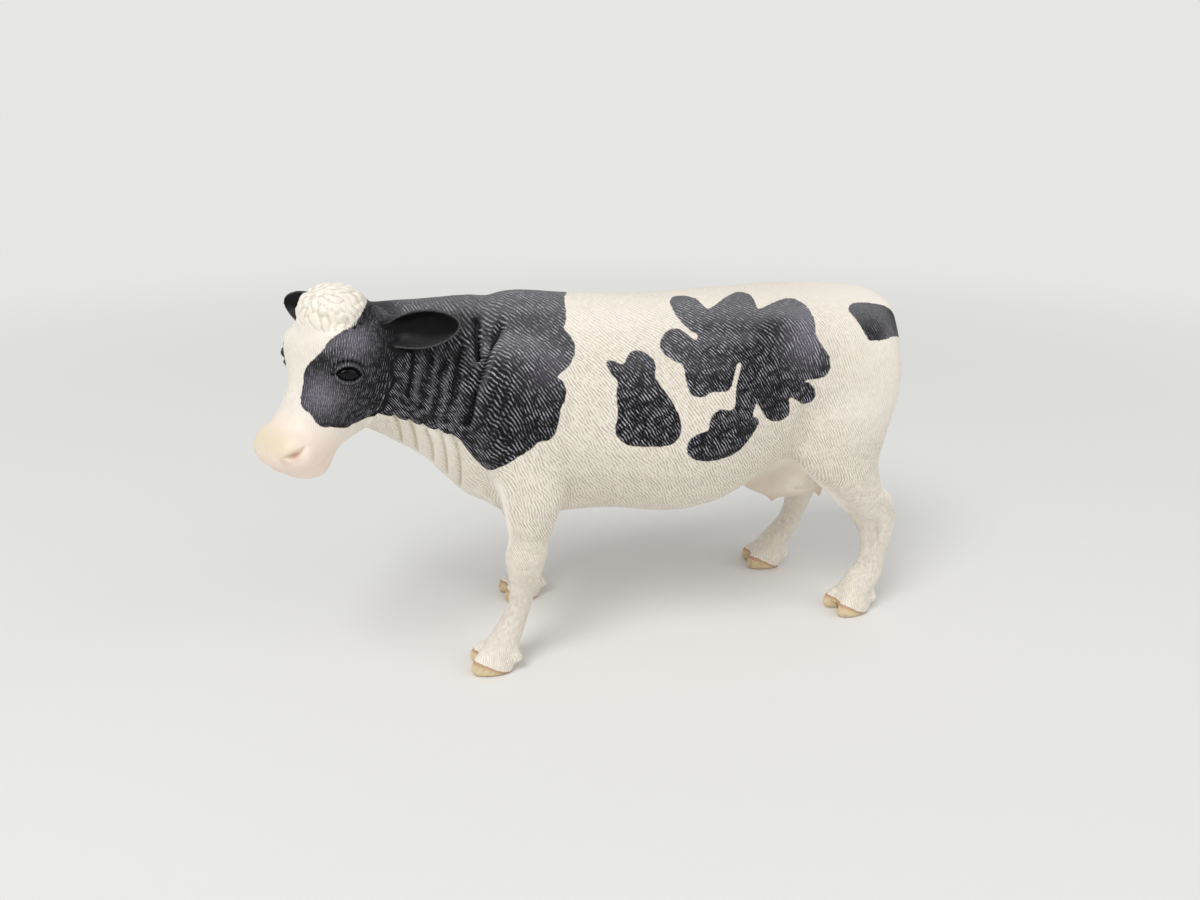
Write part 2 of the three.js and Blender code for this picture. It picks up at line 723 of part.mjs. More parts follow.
const figure = new THREE.Group();
for (const [name, [solid, colour]] of Object.entries(pieces)) {
  const { vertProperties, triVerts } = solid.getMesh();
  const geometry = new THREE.BufferGeometry();
  geometry.setAttribute("position", new THREE.BufferAttribute(vertProperties, 3));
  geometry.setIndex(new THREE.BufferAttribute(triVerts, 1));
  geometry.computeVertexNormals();
  const mesh = new THREE.Mesh(
    geometry,
    new THREE.MeshStandardMaterial({ color: colour, roughness: coatRoughness, metalness: 0 }),
  );
  mesh.name = name;
  figure.add(mesh);
}
const extent = new THREE.Box3().setFromObject(figure);
const middle = extent.getCenter(new THREE.Vector3());
figure.position.set(-middle.x, -middle.y, 0);

export default figure;
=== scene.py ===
import math

import bmesh
import bpy
import numpy as np
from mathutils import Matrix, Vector
from mathutils.bvhtree import BVHTree
from mathutils.kdtree import KDTree


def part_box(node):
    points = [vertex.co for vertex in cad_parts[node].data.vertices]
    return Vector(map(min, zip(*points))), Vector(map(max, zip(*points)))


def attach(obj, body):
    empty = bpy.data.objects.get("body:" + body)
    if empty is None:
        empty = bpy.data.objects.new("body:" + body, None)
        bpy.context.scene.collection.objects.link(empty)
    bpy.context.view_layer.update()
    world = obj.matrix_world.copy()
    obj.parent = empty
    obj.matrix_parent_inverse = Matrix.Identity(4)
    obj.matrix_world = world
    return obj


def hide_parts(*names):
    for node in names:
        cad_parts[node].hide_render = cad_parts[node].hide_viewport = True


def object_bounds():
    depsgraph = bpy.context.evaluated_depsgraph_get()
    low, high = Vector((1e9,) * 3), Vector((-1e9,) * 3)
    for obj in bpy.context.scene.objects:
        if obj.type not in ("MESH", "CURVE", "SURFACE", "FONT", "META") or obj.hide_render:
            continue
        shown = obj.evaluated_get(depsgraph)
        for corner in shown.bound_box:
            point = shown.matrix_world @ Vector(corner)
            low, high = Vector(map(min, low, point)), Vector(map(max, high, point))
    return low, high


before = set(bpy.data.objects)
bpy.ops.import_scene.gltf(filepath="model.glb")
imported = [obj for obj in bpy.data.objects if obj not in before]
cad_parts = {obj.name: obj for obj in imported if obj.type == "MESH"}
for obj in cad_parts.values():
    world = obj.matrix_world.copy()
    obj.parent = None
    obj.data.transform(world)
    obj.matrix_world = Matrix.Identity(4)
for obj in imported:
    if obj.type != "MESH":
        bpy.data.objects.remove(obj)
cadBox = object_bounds()
print("frame loaded:", len(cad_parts), "nodes")

mm = 0.001  # one millimetre; the casting is worked in millimetres and scaled at the end

# How the casting is taken from the solids, in mm
casting = {
    "grain": 0.43,     # size of the squares of the skin
    "glue": 0.3,       # what closes the glue gaps
    "jointReach": 17, "jointThick": 9, "rootReach": 1.5,  # how far round a joint they are closed
    "round": 14,       # rounds of smoothing at that size
    "roundFine": 5,    # rounds after the head and legs are made finer
    "roundEye": 4,     # rounds after the eyes are made finer still
    "cap": 0.35,       # how deep the rims of the pieces are turned in
}

# Seams between the glued pieces: a point on each, in mm
joints = {
    "head": (-35.5, -4.0, 60.0),
    "foreleg_left": (-20.0, -13.0, 36.3),
    "foreleg_right": (-16.0, 13.0, 36.3),
    "hind_leg_left": (52.0, -12.5, 37.2),
    "hind_leg_right": (48.0, 12.5, 37.2),
}


def unit(vector):
    vector = np.array(vector, float)
    return vector / np.linalg.norm(vector)


def flatten(way, out):
    flat = way - out * np.sum(way * out, axis=1, keepdims=True)
    return flat / np.maximum(np.linalg.norm(flat, axis=1, keepdims=True), 1e-6)


def copyOf(node):
    copy = node.copy()
    copy.data = node.data.copy()
    copy.parent = None
    copy.matrix_world.identity()
    bpy.context.scene.collection.objects.link(copy)
    return copy


# One value of all points, edges, faces or corners of a mesh, in rows where it has several numbers
def read(items, key, width=1, kind=np.int32):
    flat = np.empty(len(items) * width, kind)
    items.foreach_get(key, flat)
    return flat if width == 1 else flat.reshape(-1, width)


def readPoints(mesh):
    return read(mesh.vertices, "co", 3, np.float32).astype(float)


def readNormals(mesh):
    return read(mesh.vertex_normals, "vector", 3, np.float32).astype(float)


# First corner and number of corners of each face, and the point at each corner
def cornersOf(mesh):
    return (read(mesh.polygons, "loop_start"), read(mesh.polygons, "loop_total"),
            read(mesh.loops, "vertex_index"))


def writePoints(mesh, points):
    mesh.vertices.foreach_set("co", points.astype(np.float32).ravel())
    mesh.update()


def only(*objects):
    bpy.ops.object.select_all(action="DESELECT")
    for obj in objects:
        obj.select_set(True)
    bpy.context.view_layer.objects.active = objects[0]


# One skin over all the solids, with the glue gaps closed
def castSkin():
    copies = []
    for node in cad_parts.values():
        copy = copyOf(node)
        work = bmesh.new()
        work.from_mesh(copy.data)
        bmesh.ops.remove_doubles(work, verts=work.verts, dist=0.00001)
        work.to_mesh(copy.data)
        work.free()
        points = readPoints(copy.data) / mm
        out = readNormals(copy.data)
        points += out * (casting["glue"] * nearJoint(points))[:, None]
        writePoints(copy.data, points)
        copies.append(copy)
    only(*copies)
    bpy.ops.object.join()
    skin = bpy.context.view_layer.objects.active
    skin.name = "casting"
    closing = skin.modifiers.new("closing", "REMESH")
    closing.mode = "VOXEL"
    closing.voxel_size = casting["grain"]
    bpy.ops.object.modifier_apply(modifier=closing.name)
    keepOuter(skin)
    return skin


# 1 where two solids meet, by their peg or their own root end, and 0 away from it
def nearJoint(points):
    near = np.zeros(len(points))
    for name, spot in joints.items():
        axis = 0 if name == "head" else 2
        side = np.abs(points[:, axis] - spot[axis]) < casting["jointThick"]
        away = np.linalg.norm(points - np.array(spot), axis=1)
        near = np.maximum(near, side & (away < casting["jointReach"]))
    for name in ("ear_left", "ear_right", "udder", "tail"):
        low, high = [np.array(c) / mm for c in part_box(name)]
        inside = (points > low - casting["rootReach"]) & (points < high + casting["rootReach"])
        near = np.maximum(near, np.all(inside, axis=1))
    return near.astype(float)


# The largest shell is kept, the ones inside it are dropped
def keepOuter(obj):
    only(obj)
    bpy.ops.object.mode_set(mode="EDIT")
    bpy.ops.mesh.separate(type="LOOSE")
    bpy.ops.object.mode_set(mode="OBJECT")
    parts = sorted(bpy.context.selected_objects, key=lambda o: len(o.data.vertices))
    for part in parts[:-1]:
        if part is obj:
            obj.data, parts[-1].data = parts[-1].data, obj.data
            part = parts[-1]
        bpy.data.objects.remove(part)


skin = castSkin()
print("casting:", len(skin.data.vertices), "points")

# The casting as rows of points that the tools below push about, in mm
clay = {}


def openClay():
    clay["at"] = readPoints(skin.data)
    clay["edges"] = read(skin.data.edges, "vertices", 2)
    clay["degree"] = np.bincount(clay["edges"].ravel(), minlength=len(clay["at"])).astype(float)
    clay["out"] = readNormals(skin.data)


def faceOut():
    writePoints(skin.data, clay["at"])
    clay["out"] = readNormals(skin.data)


# Adds up, for each point, what its edges bring to their first and to their second end
def gathered(toFirst, toSecond):
    a, b = clay["edges"].T
    size = len(clay["at"])
    return np.bincount(a, toFirst, size) + np.bincount(b, toSecond, size)


def around(values):
    a, b = clay["edges"].T
    return gathered(values[b], values[a])


# Each point moves towards the middle of its neighbours
def smooth(rounds, share=0.6, where=None):
    for _ in range(rounds):
        total = np.stack([around(values) for values in clay["at"].T], 1)
        move = (total / clay["degree"][:, None] - clay["at"]) * share
        clay["at"] += move if where is None else move * where[:, None]
    faceOut()


def softStep(value, low, high):
    t = np.clip((value - low) / (high - low), 0, 1)
    return t * t * (3 - 2 * t)


# A soft hill, 1 in the middle; as good as 0 where the exponent passes hillEnds
def hill(value, width, power=2):
    return np.exp(-(value / width) ** power)


hillEnds = 6


# Halves the squares whose first corner is picked, and splits what borders them into triangles
def refine(picked):
    mesh = skin.data
    only(skin)
    starts, _, corner = cornersOf(mesh)
    bpy.ops.object.mode_set(mode="EDIT")
    bpy.ops.mesh.select_mode(type="FACE")
    bpy.ops.mesh.select_all(action="DESELECT")
    bpy.ops.object.mode_set(mode="OBJECT")
    mesh.polygons.foreach_set("select", picked[corner[starts]])
    bpy.ops.object.mode_set(mode="EDIT")
    bpy.ops.mesh.subdivide(number_cuts=1)
    bpy.ops.mesh.select_face_by_sides(number=4, type="GREATER", extend=False)
    bpy.ops.mesh.quads_convert_to_tris(quad_method="BEAUTY", ngon_method="BEAUTY")
    bpy.ops.object.mode_set(mode="OBJECT")
    openClay()


# The head's own measures, in mm: along the face from the poll, out of the forehead, to its left
head = {"poll": (-50.22, -4.93, 71.0), "turn": 33.0, "dip": 64.0}


def headAxes():
    turn, dip = math.radians(head["turn"]), math.radians(head["dip"])
    ahead = np.array([-math.cos(turn), -math.sin(turn), 0])
    left = np.array([math.sin(turn), -math.cos(turn), 0])
    up = np.array([0, 0, 1.0])
    along = ahead * math.cos(dip) - up * math.sin(dip)
    out = ahead * math.sin(dip) + up * math.cos(dip)
    return np.array([along, out, left])


def onHead(*place):
    return np.array(head["poll"]) + np.array(place, float) @ headAxes()


def inHead(points):
    return (points - np.array(head["poll"])) @ headAxes().T


# The middle line of the body, that lifts and turns aside into the neck
middleLine = {"height": 47, "neckAt": -25, "lift": 0.75, "aside": 0.2}


# Degrees round the body from the spine, to its left
def roundBody(points):
    bend = np.maximum(0, middleLine["neckAt"] - points[:, 0])
    side = -(points[:, 1] + middleLine["aside"] * bend)
    height = points[:, 2] - middleLine["height"] - middleLine["lift"] * bend
    return np.degrees(np.arctan2(side, height))


eyes = {"left": (9.6, -0.4, 8.9), "right": (9.4, -0.4, -8.9)}  # on the head
nostrils = {"left": (24.6, 3.2, 6.4), "right": (24.6, 3.2, -6.4)}

openClay()
clay["at"] -= clay["out"] * (casting["glue"] * nearJoint(clay["at"]))[:, None]
smooth(casting["round"], 0.6, 0.36 + 0.64 * softStep(clay["at"][:, 2], 6.5, 12))  # hooves less

# Finer squares where the small forms are: head, legs, udder, tail, then the eyes and nostrils
x, y, z = clay["at"].T
refine((x < -37) | ((x < -27) & (z > 64) & (y < -5)) | (z < 23)
       | ((z < 36) & ((x > 36) | (x < -8)) & (np.abs(y) > 7)))
smooth(casting["roundFine"])
onFace = inHead(clay["at"])
small = np.zeros(len(onFace), bool)
for place in (*eyes.values(), *nostrils.values()):
    small |= np.linalg.norm(onFace - np.array(place), axis=1) < 3.6
refine(small)
smooth(casting["roundEye"])
print("casting smoothed:", len(clay["at"]), "points", len(skin.data.polygons), "faces")


# Distance of every point to a bent line, how far along the line its nearest place is, and how
# far to the side of it the point is
def alongLine(points, line):
    best, share, side = np.full(len(points), 1e9), np.zeros(len(points)), np.zeros(len(points))
    lengths = np.linalg.norm(np.diff(line, axis=0), axis=1)
    passed = 0.0
    for start, end, length in zip(line[:-1], line[1:], lengths):
        step = (end - start) / length
        t = np.clip((points - start) @ step, 0, length)
        off = points - start - t[:, None] * step
        away = np.linalg.norm(off, axis=1)
        closer = away < best
        best = np.where(closer, away, best)
        share = np.where(closer, (passed + t) / lengths.sum(), share)
        if points.shape[1] == 2:
            side = np.where(closer, off @ np.array([step[1], -step[0]]), side)
        passed += length
    return best, share, side


# A smooth line through a few places
def curve(places, steps=5):
    p = np.array(places, float)
    p = np.vstack([2 * p[0] - p[1], p, 2 * p[-1] - p[-2]])
    rows = []
    for a, b, c, d in zip(p[:-3], p[1:-2], p[2:-1], p[3:]):
        for t in np.arange(steps) / steps:
            rows.append(0.5 * (2 * b + (c - a) * t + (2 * a - 5 * b + 4 * c - d) * t ** 2
                               + (3 * b - a - 3 * c + d) * t ** 3))
    return np.array(rows + [p[-2]])


def treeOfPoints(points):
    tree = KDTree(len(points))
    for number, place in enumerate(points):
        tree.insert(place, number)
    tree.balance()
    return tree


def treeOf(name):
    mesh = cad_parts[name].data
    points = readPoints(mesh) / mm
    return BVHTree.FromPolygons(points.tolist(), [tuple(p.vertices) for p in mesh.polygons])


# Which solid each point belongs to: the one whose surface is nearest
def nearestOf(points, names):
    trees = [treeOf(name) for name in names]
    reach = 6.0
    away = [[tree.find_nearest(Vector(p), reach)[3] or reach for p in points] for tree in trees]
    return np.argmin(np.array(away), axis=0)


# 1 on the named small piece, 0 on its neighbours
def onPiece(points, name, neighbours):
    low, high = [np.array(c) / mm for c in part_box(name)]
    near = np.flatnonzero(np.all((points > low - 1) & (points < high + 1), axis=1))
    found = np.zeros(len(points), bool)
    found[near] = nearestOf(points[near], [name, *neighbours]) == 0
    return found


ears = {"ear_left": (0.84, -0.5, 0.17), "ear_right": (-0.62, 0.77, 0.17)}  # the way each points
earPoints = {name: onPiece(clay["at"], name, ["head", "trunk"]) for name in ears}
onEars = earPoints["ear_left"] | earPoints["ear_right"]
print("ears found:", [int(found.sum()) for found in earPoints.values()])

# Flat maps of the hide for the sculpting tools, in mm: x and round the body, or along and round
# the head. Each one has its members' numbers. The face turns about a line under the forehead.
maps = {"bodyRadius": 20.0, "headRadius": 8.2, "faceDepth": 5}


# Radians round the face from its front
def roundFace(out, left):
    return np.arctan2(left, out + maps["faceDepth"])


def layMaps():
    points = clay["at"]
    along, out, left = inHead(points).T
    onHide = ~onEars & ((points[:, 0] > -49) | (out < -6)) & (points[:, 2] > 21)
    onSkull = ~onEars & (out > -14) & (points[:, 0] < -37)
    turn = np.radians(roundBody(points))
    for name, members, flat in (
            ("hide", onHide, np.stack([points[:, 0], turn * maps["bodyRadius"]], 1)),
            ("face", onSkull, np.stack([along, roundFace(out, left) * maps["headRadius"]], 1))):
        numbers = np.flatnonzero(members)
        clay[name] = (flat[numbers], numbers)


def onMap(zone, places):
    radius = maps["bodyRadius"] if zone == "hide" else maps["headRadius"]
    return np.array(places, float) * np.array([1, math.radians(1) * radius])


# A fold: a furrow with a lip on one side of it, that fades out at its ends
def fold(zone, places, width, depth, lip=0.0, fade=0.3):
    flat, numbers = clay[zone]
    line = curve(onMap(zone, places))
    low, high = line.min(0) - 4 * width, line.max(0) + 4 * width
    near = np.flatnonzero(np.all((flat > low) & (flat < high), axis=1))
    away, share, side = alongLine(flat[near], line)
    ends = softStep(share, 0, fade) * softStep(1 - share, 0, fade)
    shape = hill(away, width)
    if lip:
        shape = shape - abs(lip) * hill(side * np.sign(lip) - 1.9 * width, 1.3 * width)
    clay["at"][numbers[near]] -= clay["out"][numbers[near]] * (shape * ends * depth)[:, None]


# Raises, or with a negative height sinks, the surface about one place of a map
def swell(zone, place, radii, height, lean=0.0):
    flat, numbers = clay[zone]
    away = flat - onMap(zone, place)
    turn = math.radians(lean)
    axes = np.array([[math.cos(turn), -math.sin(turn)], [math.sin(turn), math.cos(turn)]])
    away = np.sum((away @ axes / np.array(radii, float)) ** 2, axis=1)
    near = away < hillEnds
    shape = np.exp(-away[near]) * height
    clay["at"][numbers[near]] += clay["out"][numbers[near]] * shape[:, None]


# Pushes the surface about one place of the head, both place and push in the head's measures
def headPush(place, radii, push):
    away = np.sum(((inHead(clay["at"]) - np.array(place)) / np.array(radii, float)) ** 2, axis=1)
    near = away < hillEnds
    clay["at"][near] += np.exp(-away[near])[:, None] * (np.array(push, float) @ headAxes())


# Takes what stands on the head inside a ring off again, after the curve of the surface round it
def levelOff(place, inner, outer):
    spot = inHead(clay["at"]) - np.array(place)
    away = np.linalg.norm(spot, axis=1)
    toAxis = unit((0, place[1] + maps["faceDepth"], place[2]))
    facing = (clay["out"] @ headAxes().T) @ toAxis > 0.35
    ring = (away > inner) & (away < outer) & facing
    side = unit(np.cross([1.0, 0, 0], toAxis))
    p, q, h = spot[:, 0], spot @ side, spot @ toAxis

    def terms(pick):
        return np.stack([np.ones(pick.sum()), p[pick], q[pick], p[pick] ** 2, p[pick] * q[pick],
                         q[pick] ** 2], 1)

    shape = np.linalg.lstsq(terms(ring), h[ring], rcond=None)[0]
    inside = (np.hypot(p, q) < inner) & (away < inner * 1.5)
    share = 1 - softStep(np.hypot(p[inside], q[inside]), inner * 0.6, inner)
    level = terms(inside) @ shape
    push = (level - h[inside]) * share
    clay["at"][inside] += push[:, None] * (toAxis @ headAxes())


def nearFace(place, radius):
    away = np.linalg.norm(inHead(clay["at"]) - np.array(place), axis=1)
    return 1 - softStep(away, radius * 0.6, radius)


# Where the neck's paint begins and the egg of the topknot, in the head's measures
paint = {"neckFrom": -9.5, "tuftAt": (0.6, 0.9, 0.0), "tuft": (6.6, 5.2, 6.9)}


# Distance from the middle of the topknot, 1 at its edge
def fromTuft():
    return np.linalg.norm((inHead(clay["at"]) - paint["tuftAt"]) / np.array(paint["tuft"]), axis=1)


# Muscle, bone and folds of the body: place, radii, height in mm and lean in degrees
bodyForms = [
    ((-17, 62), (6, 8), 0.35, 20),        # shoulder blade
    ((-14, 106), (5, 6), 0.5, 0),         # upper arm
    ((33.5, 38), (4, 3.2), 0.7, 10),      # hip bone
    ((57, 31), (4, 3), 0.3, 0),           # pin bone
    ((27, 98), (6, 7), -0.7, 20),         # hollow of the flank
    ((20, 47), (8, 5), -0.35, 0),         # hollow behind the ribs
    ((48, 60), (8, 9), 0.4, -15),         # rump muscle
    ((50, 95), (6, 9), 0.4, -15),         # thigh
    ((-26, 96), (4, 7), 0.5, 20),         # point of the shoulder
    ((-26.5, 52), (3.6, 11), 0.9, 12),    # neck in front of the shoulder blade
]
bodyFolds = [  # places, width, depth, lip
    ([(-20.4, 14), (-21, 20), (-22.6, 26), (-24.4, 36), (-26.4, 50), (-28, 72), (-29.3, 96)],
     0.7, 0.65, 0.4),
    ([(-24.9, 13), (-25.6, 21), (-25.7, 29), (-25.4, 36)], 0.6, 0.6, 0.4),
    ([(-28, 20), (-29, 30), (-29.8, 39), (-31, 65), (-32, 88), (-33.2, 112)], 0.7, 0.5, 0.5),
    ([(-30.8, 28), (-32, 40), (-33.1, 54), (-33.7, 82), (-35.3, 118)], 0.7, 0.48, 0.5),
    ([(-34.1, 26), (-34.3, 36), (-35.0, 55), (-35.8, 80), (-37, 114)], 0.65, 0.42, 0.5),
    ([(-37, 32), (-37.2, 43), (-37.8, 62), (-39, 104)], 0.6, 0.36, 0.5),
    ([(-23, 60), (-25.5, 80), (-27.5, 96), (-29, 110)], 0.7, 0.22, 0.4),
    ([(-9.4, 50), (-10.2, 64), (-10.8, 76), (-11.3, 92), (-10.9, 113), (-9.6, 131), (-9, 145)],
     1.5, 0.5, 0.0),
    ([(12, 33), (18, 35), (24, 37), (29, 40)], 1.6, 0.25, 0.0),
    ([(37, 74), (37.5, 90), (39, 108), (40, 122)], 1.8, 0.5, 0.0),
]
throatFolds = [
    [(-41.6, 132), (-40.8, 146), (-40.5, 162), (-40.4, 180)],
    [(-39.2, 126), (-38.4, 138), (-37.9, 156), (-37.6, 180)],
    [(-37.0, 120), (-36, 132), (-35.1, 150), (-34.8, 180)],
    [(-34.4, 112), (-33.3, 124), (-32.7, 144), (-32.2, 180)],
    [(-31.8, 108), (-30.8, 120), (-30.2, 138), (-29.8, 180)],
]


throat = {"width": 0.45, "depth": 0.7, "fade": 0.1}


# What is done on the left of the body is done on its right too
def bothSides():
    for side in (1, -1):
        yield side, lambda places: [(x, degrees * side) for x, degrees in places]


def shapeBody():
    points = clay["at"]
    x, z = points[:, 0], points[:, 2]
    turn = np.abs(roundBody(points))
    seams = hill(x + 17, 9, 4) * softStep(turn, 25, 45) * (z > 30)  # forelegs
    seams = np.maximum(seams, hill(x - 45, 18, 4) * (z > 34))       # thighs
    seams = np.maximum(seams, hill(x - 60, 5, 4) * (z > 60))        # tail
    smooth(40, 0.6, seams)
    layMaps()
    for place, radii, height, lean in bodyForms:
        for side, turned in bothSides():
            swell("hide", turned([place])[0], radii, height, lean * side)
    faceOut()
    for places, width, depth, lip in bodyFolds:
        for side, turned in bothSides():
            fold("hide", turned(places), width, depth, lip * side, 0.12 if lip else 0.3)
    for places in throatFolds:
        for side, turned in bothSides():
            fold("hide", turned(places), throat["width"], throat["depth"], 0.0, throat["fade"])
    faceOut()


# Raises the surface about a place, in mm
def bulge(place, radii, height):
    away = np.sum(((clay["at"] - np.array(place)) / np.array(radii, float)) ** 2, axis=1)
    near = away < hillEnds
    clay["at"][near] += clay["out"][near] * (np.exp(-away[near]) * height)[:, None]


# A furrow on a leg, from place to place
def legFold(places, width, depth):
    line = curve(places, 4)
    low, high = line.min(0) - 3 * width, line.max(0) + 3 * width
    near = np.flatnonzero(np.all((clay["at"] > low) & (clay["at"] < high), axis=1))
    away, share, _ = alongLine(clay["at"][near], line)
    ends = softStep(share, 0, 0.3) * softStep(1 - share, 0, 0.3)
    clay["at"][near] -= clay["out"][near] * (hill(away, width) * ends * depth)[:, None]


legHeights = (0, 12, 24, 40)
legAxes = {  # x of each leg's middle at these heights, and its y; only for the forms on the legs
    "foreleg_left": ((-24, -18.5, -17, -17), -13.5),
    "foreleg_right": ((-14, -12.5, -13.5, -16), 13.5),
    "hind_leg_left": ((53, 57.5, 54, 50), -12.8),
    "hind_leg_right": ((44.5, 49, 50, 49), 12.8)}
legForms = {  # joints and tendons: x from the middle, out from it, height, radii, rise
    "fore": [(-4, 0, 22.5, (2.6, 3.2, 3.2), 0.55), (3.4, 0, 21, (2, 3, 2.2), 0.3),
             (-3.4, 0, 9.5, (2, 2.6, 2.4), 0.35), (0, 4, 23, (2.6, 2, 3), 0.25),
             (2, 3.5, 35, (4, 3, 4), 0.4), (-0.5, 3.4, 16, (2.2, 1.6, 3.4), -0.3)],
    "hind": [(5, 0, 25.5, (2.2, 3, 2.6), 0.6), (-3.6, 0, 23.5, (2.4, 3, 2.6), -0.25),
             (-3.2, 0, 10, (2, 2.4, 2.4), 0.35), (0, 3.8, 24.5, (3, 2, 2.6), 0.3),
             (1.2, 3.3, 16, (1.2, 1.6, 4.4), -0.35), (-7, 4, 36, (4, 3, 4), 0.35)],
}


def shapeLegs():
    for name, (centres, middle) in legAxes.items():
        side = np.sign(middle)
        for dx, out, z, radii, rise in legForms["fore" if name.startswith("fore") else "hind"]:
            x = np.interp(z, legHeights, centres) + dx
            for way in ((1, -1) if out else (1,)):
                bulge((x, middle + side * out * way, z), radii, rise)
        if name.startswith("hind"):  # the groove in front of the big tendon
            legFold([(np.interp(z, legHeights, centres) + 2.4, middle + side * 3.4, z)
                     for z in (29, 24, 18, 12)], 0.8, 0.35)
    faceOut()


# The eye lies in a map of its own: along its slit and up from it, in mm
eye = {"length": 2.3, "height": 1.15, "tilt": 14.0, "stretch": 1.28}


def eyeMap(side):
    flat, numbers = clay["face"]
    middle = eyes[side]
    turn = math.degrees(math.atan2(middle[2], middle[1] + maps["faceDepth"]))
    away = flat - onMap("face", (middle[0], turn))
    slit = away[:, 1] * np.sign(middle[2]) * eye["stretch"]
    rise = -away[:, 0]
    turn = math.radians(eye["tilt"])
    along = slit * math.cos(turn) + rise * math.sin(turn)
    up = rise * math.cos(turn) - slit * math.sin(turn)
    return along, up, numbers


# Heights of the lids, folds and lashes, and how deep the slit and the corner are, in mm
lids = {"upper": 0.55, "lower": 0.32, "crease": -0.35, "overLid": 0.3, "lash": 0.17,
        "lashPitch": 0.75, "bag": -0.22, "ball": 0.3, "slit": -0.42, "corner": -0.7}


# How far inside the opening of the lids a point is, in mm
def lidOpening(along, up):
    over = np.where(up > 0, 1.1, 0.9) * eye["height"]
    return np.clip(over * (1 - np.abs(along / eye["length"]) ** 2.2) - np.abs(up), -9, 9)


def shapeEye(side):
    middle = np.array(eyes[side])
    way = np.sign(middle[2])
    headPush((9.4, -0.5, 7.4 * way), (4.2, 3.4, 3.0), (0, 0.15, 0.9 * way))
    if side == "right":
        headPush((8.6, 0.8, -7.6), (4.2, 3.0, 3.2), (0, 0.3, -0.7))
    headPush((5.6, 2.2, 6.2 * way), (2.6, 2.2, 2.6), (0, 0.5, 0.4 * way))  # brow
    faceOut()
    layMaps()
    along, up, numbers = eyeMap(side)
    near = (np.abs(along) < 5) & (np.abs(up) < 4.5)
    along, up, numbers = along[near], up[near], numbers[near]
    inside = lidOpening(along, up)
    ends = 1 - softStep(np.abs(along), eye["length"] * 0.8, eye["length"] * 1.5)
    lid = np.where(up > 0, lids["upper"], lids["lower"]) * hill(inside + 0.45, 0.4) * ends
    bend = 0.1 * along ** 2
    over = lids["crease"] * hill(up - 2.3 + 0.12 * along ** 2, 0.35) * hill(along, 2.4)
    over += lids["overLid"] * hill(up - 3.1 + bend, 0.5) * hill(along, 2.8)
    lashes = np.cos(2 * math.pi * along / lids["lashPitch"]) * hill(up - 2.6 + bend, 0.6)
    over += lids["lash"] * lashes * hill(along, 2.8)
    bag = lids["bag"] * hill(up + 2.1 - bend, 0.35) * hill(along, 2.2)
    ball = np.where(inside > 0, lids["ball"] * softStep(inside, 0, 0.9), 0)
    ball += lids["slit"] * hill(inside, 0.17)
    corner = lids["corner"] * np.exp(-(((along + 3.1) / 0.9) ** 2 + ((up + 0.2) / 0.6) ** 2))
    clay["at"][numbers] += clay["out"][numbers] * (lid + over + bag + ball * ends + corner)[:, None]
    faceOut()


nostrilSlit = [(26.6, 25), (26.1, 31), (25.2, 38), (23.9, 42), (22.9, 43)]
mouthLine = [(29.2, 0), (29.0, 22), (28.4, 42), (27, 58), (25.2, 69), (23, 77)]
snoutCrease = [(20.6, 8), (21.3, 30), (21.6, 48)]


def shapeNose():
    for side, turned in bothSides():
        fold("face", turned(nostrilSlit), 0.32, 0.8)
        headPush((24.9, 3.6, 4.3 * side), (1.6, 1.2, 1.2), (0, 0.3, 0))
        headPush((25.4, 1.2, 7.0 * side), (1.5, 1.5, 1.2), (0, 0, 0.25 * side))
        fold("face", turned(mouthLine), 0.3, 0.28, fade=0.12)
        fold("face", turned(snoutCrease), 0.8, 0.2, fade=0.4)
    fold("face", [(25.5, 0), (27.3, 0), (28.8, 0)], 0.35, 0.2)  # between the nostrils
    faceOut()


# Locks of the topknot: wavy lumps that hang from its crown, with soft creases between them
locks = {"count": 105, "stray": 0.45, "stretch": 1.9, "sway": 0.4, "dome": 0.4, "reach": 1.15,
         "crease": 0.7, "curl": 0.05, "soften": 2, "endAt": (2.4, 4.6)}


